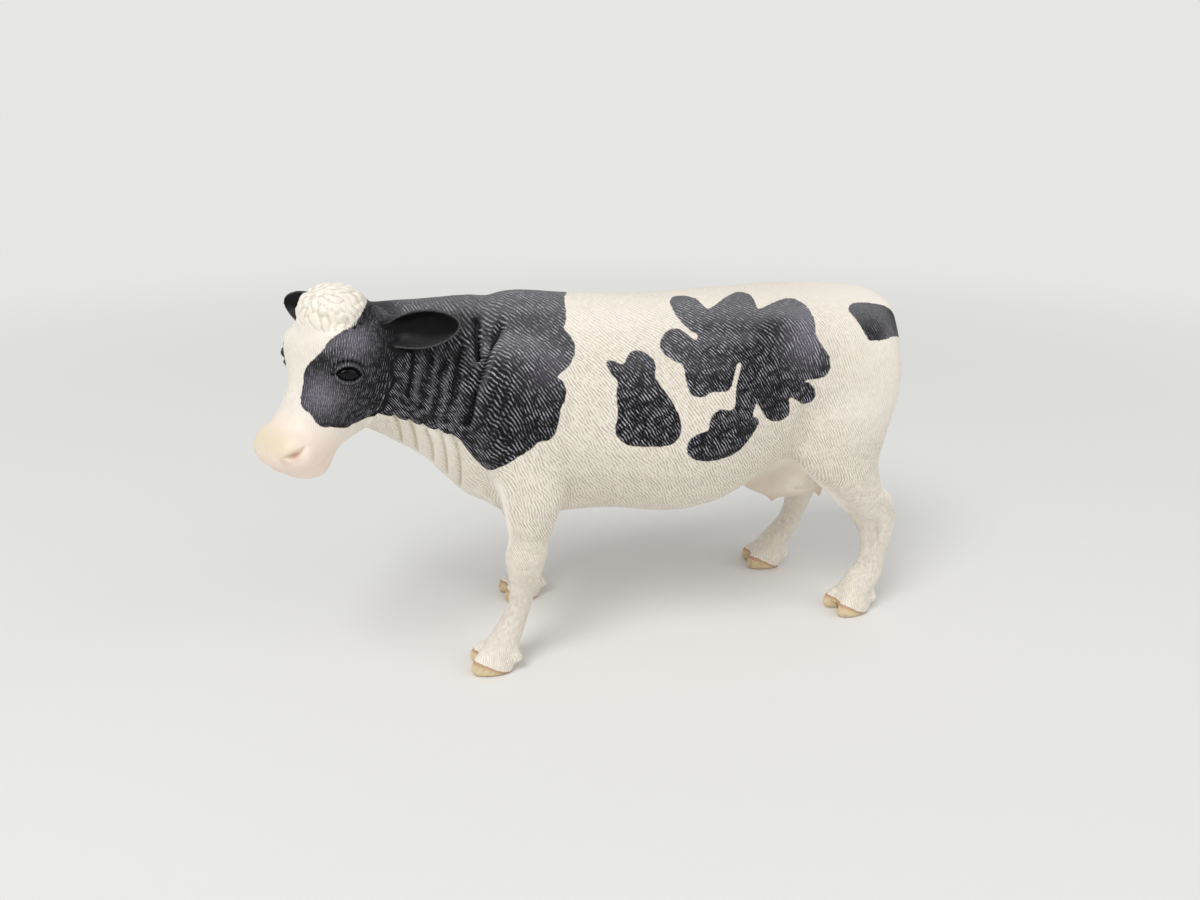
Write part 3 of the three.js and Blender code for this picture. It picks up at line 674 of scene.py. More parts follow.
def shapeTuft():
    along, size = inHead(clay["at"])[:, 0], fromTuft()
    members = np.flatnonzero((size < 1.2) & ~onEars)
    points, out = clay["at"][members], clay["out"][members]
    numbers = np.arange(locks["count"])
    height = 1 - 1.8 * (numbers + 0.5) / locks["count"]
    around = math.pi * (3 - math.sqrt(5)) * numbers
    ring = np.sqrt(1 - height ** 2)
    crown = unit((-0.5, 0.86, 0.0))
    across = np.array([0, 0, 1.0])
    centres = (height[:, None] * crown + (ring * np.cos(around))[:, None] * across
               + (ring * np.sin(around))[:, None] * np.cross(crown, across))
    centres = onHead(*paint["tuftAt"]) + (centres * np.array(paint["tuft"])) @ headAxes()
    centres += locks["stray"] * np.sin(numbers[:, None] * np.array([2.4, 3.7, 5.3]))
    surface = treeOfPoints(points)
    centres = np.array([surface.find(Vector(c))[0] for c in centres])
    swayed = points + locks["sway"] * np.sin(points[:, [1, 2, 0]] * 1.9 + np.array([0, 1.3, 2.1]))
    down = flatten(np.tile(-crown @ headAxes(), (len(points), 1)), out)
    best, second = np.full(len(points), 1e9), np.full(len(points), 1e9)
    owner = np.zeros(len(points), int)
    for number, centre in enumerate(centres):
        off = swayed - centre
        fall = np.sum(off * down, axis=1)
        aside = np.maximum(np.sum(off * off, axis=1) - fall ** 2, 0)
        away = np.sqrt(aside + (fall / locks["stretch"]) ** 2)
        nearer = away < best
        second = np.where(nearer, best, np.minimum(second, away))
        owner = np.where(nearer, number, owner)
        best = np.minimum(best, away)
    dome = 1 - np.clip(best / locks["reach"], 0, 1.1) ** 2
    crease = 1 - softStep(second - best, 0, locks["crease"])
    strands = np.sin(7.5 * np.sum((swayed - centres[owner]) * np.cross(out, down), axis=1) + owner)
    uneven = 0.75 + 0.35 * np.sin(owner * 2.1)
    fade = 1 - softStep(size[members], 1.0, 1.14)
    fade *= 1 - softStep(along[members], *locks["endAt"])
    lift = (locks["dome"] * uneven * (dome - 0.7 * crease) + locks["curl"] * strands) * fade
    clay["at"][members] += out * lift[:, None]
    fresh = np.zeros(len(clay["at"]))
    fresh[members] = fade
    smooth(locks["soften"], 0.5, fresh)


# Eyes and nostrils of the solids: place on the head, ring to level them off from, reach of that
simpleForms = [((8.7, 0.2, 7.4), 4.4, 6.4, 6), ((24.6, 3.4, 6.4), 1.7, 3.0, 3)]


def shapeHead():
    forms = [((along, out, left * side), *rest)
             for (along, out, left), *rest in simpleForms for side in (1, -1)]
    for place, inner, outer, _ in forms:
        levelOff(place, inner, outer)
    smooth(16, 0.6, np.maximum.reduce([nearFace(place, reach) for place, _, _, reach in forms]))
    for side in eyes:
        shapeEye(side)
    shapeNose()
    shapeTuft()
    smooth(1, 0.5, nearFace((12, 0, 0), 24))


# Signed distance to an outline of (x, degrees) or (along, degrees), in mm, above 0 inside it
def insideOf(across, turn, outline, radius):
    rows = np.array(outline, float)
    for _ in range(2):
        after = np.roll(rows, -1, 0)
        rows = np.stack([rows * 0.75 + after * 0.25, rows * 0.25 + after * 0.75], 1).reshape(-1, 2)
    reach = math.radians(1) * radius
    rows = rows * np.array([1, reach])
    turn = turn * reach
    margin = 6.0
    (lowA, lowT), (highA, highT) = rows.min(0) - margin, rows.max(0) + margin
    result = np.full(len(across), -margin)
    near = np.flatnonzero((across > lowA) & (across < highA) & (turn > lowT) & (turn < highT))
    u, v = across[near], turn[near]
    best, inside = np.full(len(near), 1e9), np.zeros(len(near), bool)
    for (u0, v0), (u1, v1) in zip(rows, np.roll(rows, -1, 0)):
        du, dv = u1 - u0, v1 - v0
        t = np.clip(((u - u0) * du + (v - v0) * dv) / (du * du + dv * dv + 1e-12), 0, 1)
        best = np.minimum(best, (u - u0 - t * du) ** 2 + (v - v0 - t * dv) ** 2)
        crosses = (v0 > v) != (v1 > v)
        inside ^= crosses & (u < du * (v - v0) / (dv if dv else 1e-12) + u0)
    distance = np.sqrt(best)
    result[near] = np.where(inside, distance, -distance)
    return result


# Outlines of the black patches as (mm from nose to tail, degrees round from the spine)
bodyPatches = {
    "shoulder": [
        (-52, 142), (-44, 141), (-42, 138), (-40, 135), (-38.5, 133), (-37, 130), (-35, 125),
        (-33.5, 119), (-31.5, 113), (-30.5, 109), (-29.8, 110), (-29, 114), (-28, 117),
        (-26.8, 119), (-25.6, 118), (-24.7, 113), (-23.5, 107), (-22, 103), (-21, 99.5),
        (-19.7, 95.5), (-18.2, 92), (-17.3, 88.5), (-16.4, 86), (-15, 86), (-14, 84),
        (-13.3, 80), (-12.8, 74.5), (-12.3, 68), (-11.5, 65), (-11, 60.5), (-11, 56),
        (-11.7, 52.5), (-12.4, 51), (-11.3, 48.5), (-9.7, 45.5), (-8.4, 39.5), (-8, 34),
        (-8.4, 30), (-8.9, 27), (-9.8, 25.5), (-8.9, 22), (-8.5, 17), (-8.2, 11), (-7.8, 6),
        (-6.6, 1.5), (-6.5, -8), (-8, -16), (-7, -26), (-4.5, -34), (-4, -44), (-6.5, -52),
        (-10, -57), (-9.5, -66), (-12, -76), (-16.5, -82), (-18, -92), (-22.5, -101),
        (-27, -108), (-30, -116), (-35, -126), (-40, -136), (-52, -142)],
    "rib": [
        (-3.2, 44), (-1.5, 44), (0.4, 48), (1, 44), (2, 40.5), (3.8, 40), (5.3, 43), (6.4, 46.5),
        (6.4, 50.5), (5.7, 56), (7.2, 63), (8.6, 70.5), (9.7, 77.5), (9.9, 84), (9.3, 90),
        (6.9, 93), (3.7, 92.5), (0, 92), (-2, 88), (-2.8, 82.5), (-1.9, 75), (-1.9, 68.5),
        (-1.9, 62), (-1, 56), (-2.3, 52.5)],
    "hip": [
        (12.4, 13), (14, 7.5), (16.4, 7), (18.2, 12), (18.5, 18), (19.2, 22.5), (22, 18),
        (25.6, 11), (27.9, 7.5), (29.5, 11.5), (29.3, 19.5), (28.5, 27.5), (31.4, 24.5),
        (34.3, 21.5), (36.8, 20.5), (38.2, 25.5), (38.7, 31.5), (38.8, 38.5), (38.5, 44.5),
        (39.8, 48), (41.4, 52.5), (41.9, 57), (41.8, 61), (40.6, 63.5), (37.7, 64), (35.8, 63.5),
        (38.2, 66.5), (39.4, 72), (38.9, 77), (36.7, 79), (34.7, 75), (33, 72.5), (33.3, 78.5),
        (33.7, 83.5), (32.1, 87), (30.1, 87.5), (28.1, 84.5), (26.9, 79.5), (25.7, 74),
        (25, 78.5), (24.9, 82), (26.3, 83.5), (26.3, 87.5), (25, 92.5), (23, 98.5), (21, 101.5),
        (17.8, 103), (15.3, 103), (12.8, 101.5), (11.2, 98.5), (10.6, 94), (11.6, 89),
        (13.6, 87), (15.2, 86.5), (15.5, 81.5), (16.4, 78), (17.9, 75.5), (20.2, 77.5),
        (21, 75), (21.2, 67.5), (21.9, 61.5), (23.3, 53), (22.2, 52.5), (21.3, 60), (20.4, 66),
        (18.8, 67.5), (16, 66.5), (15.1, 69), (13.1, 69), (11.9, 65.5), (11.6, 59), (11.7, 52),
        (11.3, 50), (9.8, 48), (8.4, 44), (7.7, 39.5), (8.7, 34), (10.4, 30.5), (12.4, 30.5),
        (13.7, 34), (15.2, 39), (15.8, 35), (14.6, 33), (13.1, 27.5), (12.4, 22.5)],
    "rump": [
        (47.3, 31), (49.2, 26), (52.8, 24), (57.2, 23), (60.5, 24), (63, 27), (63.5, 33),
        (60.5, 39), (56.8, 43.5), (54.1, 46), (52.3, 46), (50.9, 47), (49.8, 44), (49, 39),
        (47.9, 34.5)],
    "ribRight": [
        (-1, -30), (4, -25), (9, -29), (13, -38), (15, -47), (19, -52), (19.5, -63), (14.5, -70),
        (13, -82), (8, -91), (1.5, -88), (-1, -76), (-4.5, -66), (-5, -54), (-1.5, -44),
        (-3, -36)],
    "hipRight": [
        (25.5, -18), (31, -15), (36.5, -17), (42, -19), (46, -22), (51.5, -30), (51, -41),
        (45.5, -49), (43.5, -60), (38, -67), (36, -80), (30.5, -91), (25, -88), (25.5, -75),
        (21.5, -64), (22.5, -50), (27.5, -41), (27, -30), (23.5, -20)],
    "rumpRight": [(55, -24), (59, -20), (62.5, -26), (62, -36), (58, -41), (54.5, -34)],
}

# The same on the head, as (mm along the face, degrees round from its front)
headPatches = {
    "cheekLeft": [
        (-3.9, 63), (-1.4, 58), (0.1, 55), (1.7, 50), (3.2, 42.5), (5, 36), (6.9, 33.5),
        (8.5, 25), (9.8, 17), (11.3, 12), (13, 13.5), (14.8, 15), (16.6, 18), (17.6, 26),
        (17.7, 32), (18.5, 38), (19.4, 45.5), (19.6, 52), (19.2, 62), (19, 78), (18.7, 92),
        (17.7, 99), (16.9, 109), (16.1, 115), (15.5, 121), (14.9, 125), (14.8, 150),
        (14.8, 200), (-18, 200), (-18, 90), (-9, 75)],
    "cheekRight": [
        (-4, -70), (0, -75), (3, -70), (5, -55), (6, -48), (8.5, -42), (11, -43), (12.5, -49),
        (14.5, -62), (16.5, -80), (15.5, -100), (14.8, -125), (14.8, -200), (-18, -200),
        (-18, -90), (-9, -75)],
}

shapeBody()
shapeLegs()
shapeHead()
print("body and head shaped")

soles = [(-26.6, -13.8), (-15.6, 13.8), (53.6, -13.0), (45.0, 13.0)]  # middle of each, in mm


def paintInk(points):
    turn = roundBody(points)
    ink = np.full(len(points), -6.0)
    for outline in bodyPatches.values():
        ink = np.maximum(ink, insideOf(points[:, 0], turn, outline, maps["bodyRadius"]))
    along, out, left = inHead(points).T
    face = np.degrees(roundFace(out, left))
    cheeks = np.full(len(points), -6.0)
    for outline in headPatches.values():
        cheeks = np.maximum(cheeks, insideOf(along, face, outline, maps["headRadius"]))
    cheeks = np.minimum(cheeks, (fromTuft() - 1) * 5)  # the topknot stays white
    ink = np.where((out > paint["neckFrom"]) & (points[:, 0] < -37), cheeks, ink)
    ink = np.where(onEars, 6.0, ink)
    return np.where(points[:, 2] < 38, -6.0, ink)


def paintHoof(points):
    x, y, z = points.T
    best = np.full(len(points), -5.0)
    for toeX, toeY in soles:
        near = (np.abs(x - toeX) < 9) & (np.abs(y - toeY) < 8)
        line = 3.2 - 2.9 * softStep(x, toeX - 3.6, toeX + 4.2)
        best = np.where(near, np.maximum(best, line - z), best)
    return best


# Washes of the muzzle, the nostrils and the udder, 0 to 1
def paintWashes(points):
    x, y, z = points.T
    along, out, left = inHead(points).T
    aside, side = np.abs(y), np.abs(left)
    hole = np.exp(-((along - 25.3) / 0.9) ** 2 - (out - 3.3) ** 2 - ((side - 6.0) / 0.9) ** 2)
    below = np.exp(-((along - 26.8) / 0.8) ** 2 - ((out - 4.2) / 1.2) ** 2 - (side - 4.9) ** 2)
    udder = softStep(x, 29, 33) * (1 - softStep(x, 55, 58))
    udder = udder * (1 - softStep(aside, 8.4, np.where(z < 30, 9.3, 10.2)))
    udder = udder * (1 - softStep(z, 29, 38)) * (z > 18)
    return {
        "snout": softStep(along + out * 0.15, 16.5, 24.5) * (x < -40),
        "snoutTop": hill(along - 24, 3.2) * softStep(out, 2, 5.5) * 0.9,
        "nostril": np.clip(0.6 * hole + 0.3 * below, 0, 1),
        "udderTone": udder,
        "teat": udder * (1 - softStep(z, 24.5, 26.5)) * (1 - softStep(aside, 7.4, 8.4))}


def paintEye(points):
    mask = np.full(len(points), -3.0)
    for side in eyes:
        along, up, numbers = eyeMap(side)
        mask[numbers] = np.maximum(mask[numbers], lidOpening(along, up))
    return mask


# Flat charts that the hair is laid out on, in mm: body, legs, face, ears and tail, and finer
# hair off the body. With them goes the way across the hair on the chart, in radians.
hair = {"fineness": 1.35, "faceRadius": 9.5, "legRadius": 4, "tailRadius": 2.5}
girth = {  # half width of the body at places along it
    "x": (-50, -36, -29, -21, -10, 5, 20, 35, 50, 62),
    "radius": (10, 11, 13, 18, 19.5, 22, 23, 22.5, 20, 17)}
hairHeights = (0, 8, 16, 24, 32, 40)
legMiddles = {  # x of each leg's middle at these heights, and its y; only for the hair's chart
    "foreleg_left": ((-26.8, -22.6, -19.8, -18.6, -17.5, -17), -13.8),
    "foreleg_right": ((-15.8, -13.7, -14.1, -15.5, -16.3, -17), 13.8),
    "hind_leg_left": ((53.2, 57.4, 59.3, 56.8, 50.6, 48), -13),
    "hind_leg_right": ((44.6, 50, 54, 53.4, 49, 47.5), 13)}


def hairChart():
    points = clay["at"]
    x, y, z = points.T
    turn = np.abs(roundBody(points))
    reach = np.radians(turn) * np.interp(x, girth["x"], girth["radius"])
    chart = np.stack([x, reach], 1)
    lay = 42 + 20 * softStep(turn, 20, 60)
    arm = hill(x + 19, 7) * softStep(turn, 55, 85) * (1 - softStep(turn, 110, 135))
    lay += 6 * arm
    neck = 1 - softStep(x, -32, -22)
    lay = lay * (1 - neck) + 52 * neck
    for name, (centres, middle) in legMiddles.items():
        centre = np.interp(z, hairHeights, centres)
        # Half the shank's length along the body, and where its hair starts on the chart
        half, down = (8.5, 39) if name.startswith("fore") else (14, 46)
        near = (y * middle > 0) & (np.abs(y) > 5.5) & (z < 44)
        share = near * (1 - softStep(z, 31, 43))
        share = share * (1 - softStep(np.abs(x - centre) / half, 0.9, 1.2))
        finer = 1 + (hair["fineness"] - 1) * softStep(40 - z, 6, 22)
        thin = 1 - softStep(z, 20, 31)
        fromFront = np.arctan2(np.abs(np.abs(y) - abs(middle)), centre - x)
        wrapped = (fromFront - math.pi / 2) * hair["legRadius"] + centre
        own = np.stack([(x * (1 - thin) + wrapped * thin) * finer, down + (40 - z) * finer], 1)
        chart = chart * (1 - share[:, None]) + own * share[:, None]
        lay = lay * (1 - share) + 84 * share
    along, out, left = inHead(points).T
    wobble = 0.35 * np.sin(1.3 * along)
    face = (out > -8.2 + wobble - 1.2 * softStep(along, 5, 12)) & (x < -37)
    parts = [(face, (along, np.abs(roundFace(out, left)) * hair["faceRadius"]), 12)]
    for name, way in ears.items():
        axis = unit(way)
        side = unit(np.cross(axis, (0, 0, 1.0)))
        flat = (points @ axis, points @ side + points @ np.cross(axis, side))
        parts.append((earPoints[name], flat, 0))
    tail = (x > 57.5) & (np.abs(y - 1.5) < 3.6) & (z < 63)
    girthwise = np.arctan2(np.abs(y - 1.5), x - 61) * hair["tailRadius"]
    parts.append((tail, (girthwise, -z), 88))
    for members, flat, degrees in parts:
        chart = np.where(members[:, None], np.stack(flat, 1) * hair["fineness"], chart)
        lay = np.where(members, degrees, lay)
    return chart, np.radians(lay + 90)


# 0 along the borders of the charts, where one piece of hair would tear from the next
def chartBorders(chart):
    a, b = clay["edges"].T
    jump = np.linalg.norm(chart[a] - chart[b], axis=1)
    length = np.linalg.norm(clay["at"][a] - clay["at"][b], axis=1)
    torn = jump > 3.2 * length + 0.05
    bare = np.zeros(len(chart))
    bare[a[torn]] = 1
    bare[b[torn]] = 1
    for share in (0.7, 0.25):
        spread = bare.copy()
        np.maximum.at(spread, a, bare[b] * share)
        np.maximum.at(spread, b, bare[a] * share)
        bare = spread
    return 1 - bare


# The least that the chart moves for a millimetre on the skin: well below 1, the hair is stretched
def chartStretch(chart):
    a, b = clay["edges"].T
    step, jump = clay["at"][b] - clay["at"][a], chart[b] - chart[a]

    def products(first, second):
        pairs = [p * q for p in first.T for q in second.T]
        return np.stack([gathered(pair, pair) for pair in pairs], 1).reshape(
            -1, first.shape[1], second.shape[1])

    spread = products(step, step) + clay["out"][:, :, None] * clay["out"][:, None, :]
    slope = np.linalg.solve(spread, np.swapaxes(products(jump, step), 1, 2))
    metric = np.einsum("nia,nib->nab", slope, slope)
    half = (metric[:, 0, 0] + metric[:, 1, 1]) / 2
    spread = np.hypot((metric[:, 0, 0] - metric[:, 1, 1]) / 2, metric[:, 0, 1])
    least = np.sqrt(np.maximum(half - spread, 0))
    for _ in range(5):
        least = (least + around(least) / clay["degree"]) / 2
    return least


# How deep the hair is cut, 0 to 1: less on back, rump and lower legs, little on topknot and ears
def hairDepth(points):
    x, z = points[:, 0], points[:, 2]
    turn = np.abs(roundBody(points))
    deep = 0.5 + 0.5 * softStep(turn, 14, 50)
    deep *= 1 - 0.6 * softStep(x, 34, 54) * softStep(z, 34, 50)
    deep *= 1 - 0.3 * (1 - softStep(z, 18, 34))
    along, out, _ = inHead(points).T
    face = softStep(out, -13, -6) * (x < -37)
    deep = deep * (1 - face) + 0.42 * face * (1 - softStep(along, 17, 23))
    deep *= 0.35 + 0.65 * softStep(fromTuft(), 0.98, 1.2)
    deep = np.where(onEars, 0.12, deep)
    deep *= 1 - softStep(shades["hoof"], -0.4, 0.1)
    deep *= 1 - 0.85 * softStep(shades["udderTone"], 0, 0.6)
    folded = softStep(turn, 105, 130) * hill(x + 35, 7)
    return deep * (1 - 0.6 * folded) * (1 - groin(points))


# The narrow place between udder and thigh, where the engraving doesn't reach
def groin(points):
    x, y, z = points.T
    away = ((x - 40) / 5) ** 2 + ((np.abs(y) - 8.5) / 2.6) ** 2 + ((z - 34.5) / 4.5) ** 2
    return np.exp(-away ** 2)


# Painted sheen: the satin charcoal is painted greyer where it faces up, and on cheek, brow, hip
# and shoulder, as painted highlights where the light falls: place, reach in mm and share
sheenSpotsHead = [((14.5, 1.2, 5.4), 3.6, 0.95), ((3.8, 0.2, 8.0), 3.6, 0.8),
              ((14.5, 1.2, -5.4), 3.6, 0.95), ((3.8, 0.2, -8.0), 3.6, 0.8)]
sheenSpotsBody = [((36.8, 43), 4.6, 0.95), ((57, 42), 2.8, 0.6), ((-14.5, 44), 5.0, 0.35)]


# Painted highlight: how much each point faces up, where the charcoal is painted greyer
def paintSkySheen(points):
    sky = softStep(clay["out"][:, 2], 0.4, 0.88) * (points[:, 2] > 40)
    return sky * (1 - 0.75 * softStep(-points[:, 0], 36, 42)) * np.where(onEars, 0.25, 1.0)


# Painted highlight: violet-grey sheen spots on cheeks, brows, hips and shoulders
def paintSheenSpots(points):
    spots = np.zeros(len(points))
    for place, reach, share in sheenSpotsHead:
        away = np.linalg.norm(inHead(points) - np.array(place), axis=1)
        spots = np.maximum(spots, share * hill(away, reach))
    turn = np.abs(roundBody(points))
    for (x, degrees), reach, share in sheenSpotsBody:
        away = np.hypot(points[:, 0] - x, np.radians(turn - degrees) * maps["bodyRadius"])
        spots = np.maximum(spots, share * hill(away, reach))
    return spots * ~onEars


# How hollow the skin is: above 0 in a furrow, below 0 on a ridge, 1 at a radius of about 1 mm
def hollows():
    a, b = clay["edges"].T
    gap = np.linalg.norm(clay["at"][a] - clay["at"][b], axis=1)
    length = gathered(gap, gap) / clay["degree"]
    middle = np.stack([around(values) for values in clay["at"].T], 1) / clay["degree"][:, None]
    deep = np.sum((middle - clay["at"]) * clay["out"], axis=1) / length ** 2 * 4
    for _ in range(4):
        deep = (deep + around(deep) / clay["degree"]) / 2
    return deep


# What the materials read at each point
skinAt = clay["at"]
shades = {"ink": paintInk(skinAt), "hoof": paintHoof(skinAt), **paintWashes(skinAt),
          "eye": paintEye(skinAt), "violet": paintSheenSpots(skinAt), "sky": paintSkySheen(skinAt)}
chart, shades["lay"] = hairChart()
shades["chart"] = np.column_stack([chart, np.zeros(len(chart))])
evenness = chartBorders(chart) * softStep(chartStretch(chart), 0.25, 0.6)
shades["depth"] = hairDepth(skinAt) * evenness
# Hollows get a brown wash that is partly painted shade, crests a paler painted highlight
shades["hollow"] = hollows() * np.maximum(softStep(skinAt[:, 2], 12, 16), shades["hoof"] > 0)
shades["hollow"] *= 1 - groin(skinAt)
for place in eyes.values():  # the lashes stay clear of the wash and painted shade of the hollows
    shades["hollow"] *= 1 - 0.75 * nearFace(place, 5.5)
print("paint laid out")

# The casting is cut into the same pieces as the solids
pieceSlots = {
    "trunk": "hide", "head": "face", "ear_left": "ear", "ear_right": "ear", "udder": "udder",
    "tail": "tail", "foreleg_left": "leg", "foreleg_right": "leg", "hind_leg_left": "leg",
    "hind_leg_right": "leg",
}


def pieceOf(points):
    x, y, z = points.T
    names = np.full(len(points), "trunk", dtype="<U16")
    names[x < joints["head"][0]] = "head"
    for name in ears:
        names[onPiece(points, name, ["head", "trunk"])] = name
    for name, inside in (("foreleg", x < 0), ("hind_leg", x > 36.5)):
        low = (z < joints[name + "_left"][2]) & inside & (np.abs(y) > 6.6)
        names[low & (y < 0)] = name + "_left"
        names[low & (y > 0)] = name + "_right"
    names[onPiece(points, "udder", ["trunk", "hind_leg_left", "hind_leg_right"])] = "udder"
    names[onPiece(points, "tail", ["trunk"]) & (names == "trunk")] = "tail"
    return names


# Evens out the borders between the pieces
def evenOut(owners, rounds=6):
    links, sizes = read(skin.data.loops, "edge_index"), read(skin.data.polygons, "loop_total")
    faceOf = np.repeat(np.arange(len(sizes)), sizes)
    pairs = faceOf[np.argsort(links, kind="stable")].reshape(-1, 2)
    for _ in range(rounds):
        a, b = pairs.T
        differ = owners[a] != owners[b]
        others = np.bincount(a, differ, len(owners)) + np.bincount(b, differ, len(owners))
        a, b = a[differ], b[differ]
        moved = owners.copy()
        for mine, theirs in ((a, b), (b, a)):
            odd = others[mine] * 2 > sizes[mine]
            moved[mine[odd]] = owners[theirs[odd]]
        owners = moved
    return owners


def cutPiece(name, faces, starts, sizes, corner):
    picked = np.flatnonzero(faces)
    rows = [corner[starts[f]:starts[f] + sizes[f]] for f in picked]
    used, renumbered = np.unique(np.concatenate(rows), return_inverse=True)
    count = sizes[picked]
    mesh = bpy.data.meshes.new(name + "Cast")
    mesh.vertices.add(len(used))
    mesh.loops.add(len(renumbered))
    mesh.polygons.add(len(picked))
    mesh.vertices.foreach_set("co", (clay["at"][used] * mm).astype(np.float32).ravel())
    mesh.loops.foreach_set("vertex_index", renumbered.astype(np.int32))
    mesh.polygons.foreach_set("loop_start", np.concatenate([[0], np.cumsum(count)[:-1]]))
    mesh.update(calc_edges=True)
    for mark, values in shades.items():
        flat = values.ndim == 1
        layer = mesh.attributes.new(mark, "FLOAT" if flat else "FLOAT_VECTOR", "POINT")
        layer.data.foreach_set("value" if flat else "vector",
                               values[used].astype(np.float32).ravel())
    # The open rims at the joints are turned inwards and closed there
    work = bmesh.new()
    work.from_mesh(mesh)
    work.normal_update()
    facing = list(clay["out"][used])
    rim = [edge for edge in work.edges if edge.is_boundary]
    if rim:
        turned = bmesh.ops.extrude_edge_only(work, edges=rim)["geom"]
        work.verts.index_update()
        for part in turned:
            if isinstance(part, bmesh.types.BMVert):
                root = min(e.other_vert(part).index for e in part.link_edges)
                part.co -= Vector(clay["out"][used[root]]) * (casting["cap"] * mm)
        rim = [edge for edge in work.edges if edge.is_boundary]
        caps = bmesh.ops.holes_fill(work, edges=rim, sides=0)["faces"]
        bmesh.ops.triangulate(work, faces=caps)
        work.verts.ensure_lookup_table()
        facing += [(0.0, 0.0, 0.0)] * (len(work.verts) - len(used))
    work.to_mesh(mesh)
    work.free()
    mesh.polygons.foreach_set("use_smooth", np.ones(len(mesh.polygons), bool))
    mesh.normals_split_custom_set_from_vertices(facing)
    piece = bpy.data.objects.new(name + "Cast", mesh)
    bpy.context.scene.collection.objects.link(piece)
    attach(piece, "root")
    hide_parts(name)
    return piece


faceOut()
low, high = [np.array(c) / mm for c in cadBox]
clay["at"] = np.clip(clay["at"], low + 0.01, high - 0.01)
starts, sizes, corner = cornersOf(skin.data)
middles = clay["at"][corner[starts]] * 0.5 + clay["at"][corner[starts + 2]] * 0.5
owners = evenOut(pieceOf(middles))
pieces = {}
for name in pieceSlots:
    pieces[name] = cutPiece(name, owners == name, starts, sizes, corner)
    print(name, len(pieces[name].data.polygons), "faces")
bpy.data.objects.remove(skin)
print("casting cut into", len(pieces), "pieces")


def linear(code):
    parts = [int(code[i:i + 2], 16) / 255 for i in (1, 3, 5)]
    return tuple(c / 12.92 if c <= 0.04045 else ((c + 0.055) / 1.055) ** 2.4 for c in parts) + (1,)


bench = {}  # the node tree that is being built


def newMaterial(name):
    material = bpy.data.materials.new(name)
    material.use_nodes = True
    material.node_tree.nodes.clear()
    bench["tree"] = material.node_tree
    return material


# Adds a node with its settings and links
def add(kind, inputs=None, **settings):
    node = bench["tree"].nodes.new("ShaderNode" + kind)
    for key, value in settings.items():
        setattr(node, key, value)
    for key, value in (inputs or {}).items():
        if isinstance(value, bpy.types.NodeSocket):
            bench["tree"].links.new(value, node.inputs[key])
        else:
            node.inputs[key].default_value = value
    return node


def mark(name):
    return add("Attribute", attribute_name=name).outputs["Fac"]


def sums(operation, a, b, clamp=False):
    return add("Math", {0: a, 1: b}, operation=operation, use_clamp=clamp).outputs[0]


def times(a, b, clamp=False):
    return sums("MULTIPLY", a, b, clamp)


def between(value, low, high, to=(0.0, 1.0)):
    return add("MapRange", {"Value": value, "From Min": low, "From Max": high, "To Min": to[0],
                            "To Max": to[1]}, interpolation_type="SMOOTHSTEP").outputs[0]


def mixed(share, a, b):
    return add("Mix", {0: share, 6: a, 7: b}, data_type="RGBA").outputs[2]


# Soft vinyl, cast in an engraved mould and painted by hand: matt ivory with a wash and painted
# shade in the grooves, satin charcoal patches with painted highlights on the ridges, gloss black
# eyes. The hair is
# 0.54 mm from groove to groove, as in the photo at the figure's real size, so it isn't drawn
# coarser.
vinyl = {
    # whiteGroove and wash: a brown wash, partly painted shade; blackSheen, violet, blackRidge:
    # painted highlights
    "white": "#f8f1e5", "whiteGroove": "#b4a78d", "tone": "#e6dcc6", "wash": "#b3a583",
    "black": "#040406", "blackRidge": "#bbb9c3", "blackSheen": "#757577", "violet": "#86828d",
    "pink": "#f6e3d5", "snoutTop": "#e8dabc", "nostril": "#b98a72", "hoof": "#e0cda6",
    "hoofPink": "#bb9474", "hoofDark": "#7d6546", "udder": "#dfd1c1", "teat": "#dcbfaa",
    "eye": "#060607", "pitch": 0.54, "stroke": 1.3, "sway": 0.22, "swayOver": 1.5,  # mm
    "even": 0.95, "cut": 0.32,  # the cut in mm
    "fleck": 2600.0, "tones": 90.0, "edge": 1300.0,  # noises, to the metre
    "roughWhite": 0.5, "roughBlack": 0.45, "shineWhite": 0.5, "shineBlack": 0.18,
    "roughEye": 0.06,
}


def tint(name):
    return linear(vinyl[name])


def noise(place, name, detail):
    return add("TexNoise", {"Vector": place, "Scale": vinyl[name], "Detail": detail}).outputs["Fac"]


# Engraved hair: short wavy grooves, laid on the chart
def hairStrokes():
    chart = add("Attribute", attribute_name="chart").outputs["Vector"]
    sway = add("TexNoise", {"Vector": chart, "Scale": 1 / vinyl["swayOver"], "Detail": 1.0})
    bent = add("VectorMath", {0: sway.outputs["Color"], 1: (vinyl["sway"],) * 3, 2: chart},
               operation="MULTIPLY_ADD").outputs[0]
    strokes = add("TexGabor", {
        "Vector": bent, "Scale": 1 / vinyl["stroke"], "Frequency": vinyl["stroke"] / vinyl["pitch"],
        "Anisotropy": vinyl["even"], 4: mark("lay")}, gabor_type="2D")
    return strokes.outputs["Value"]


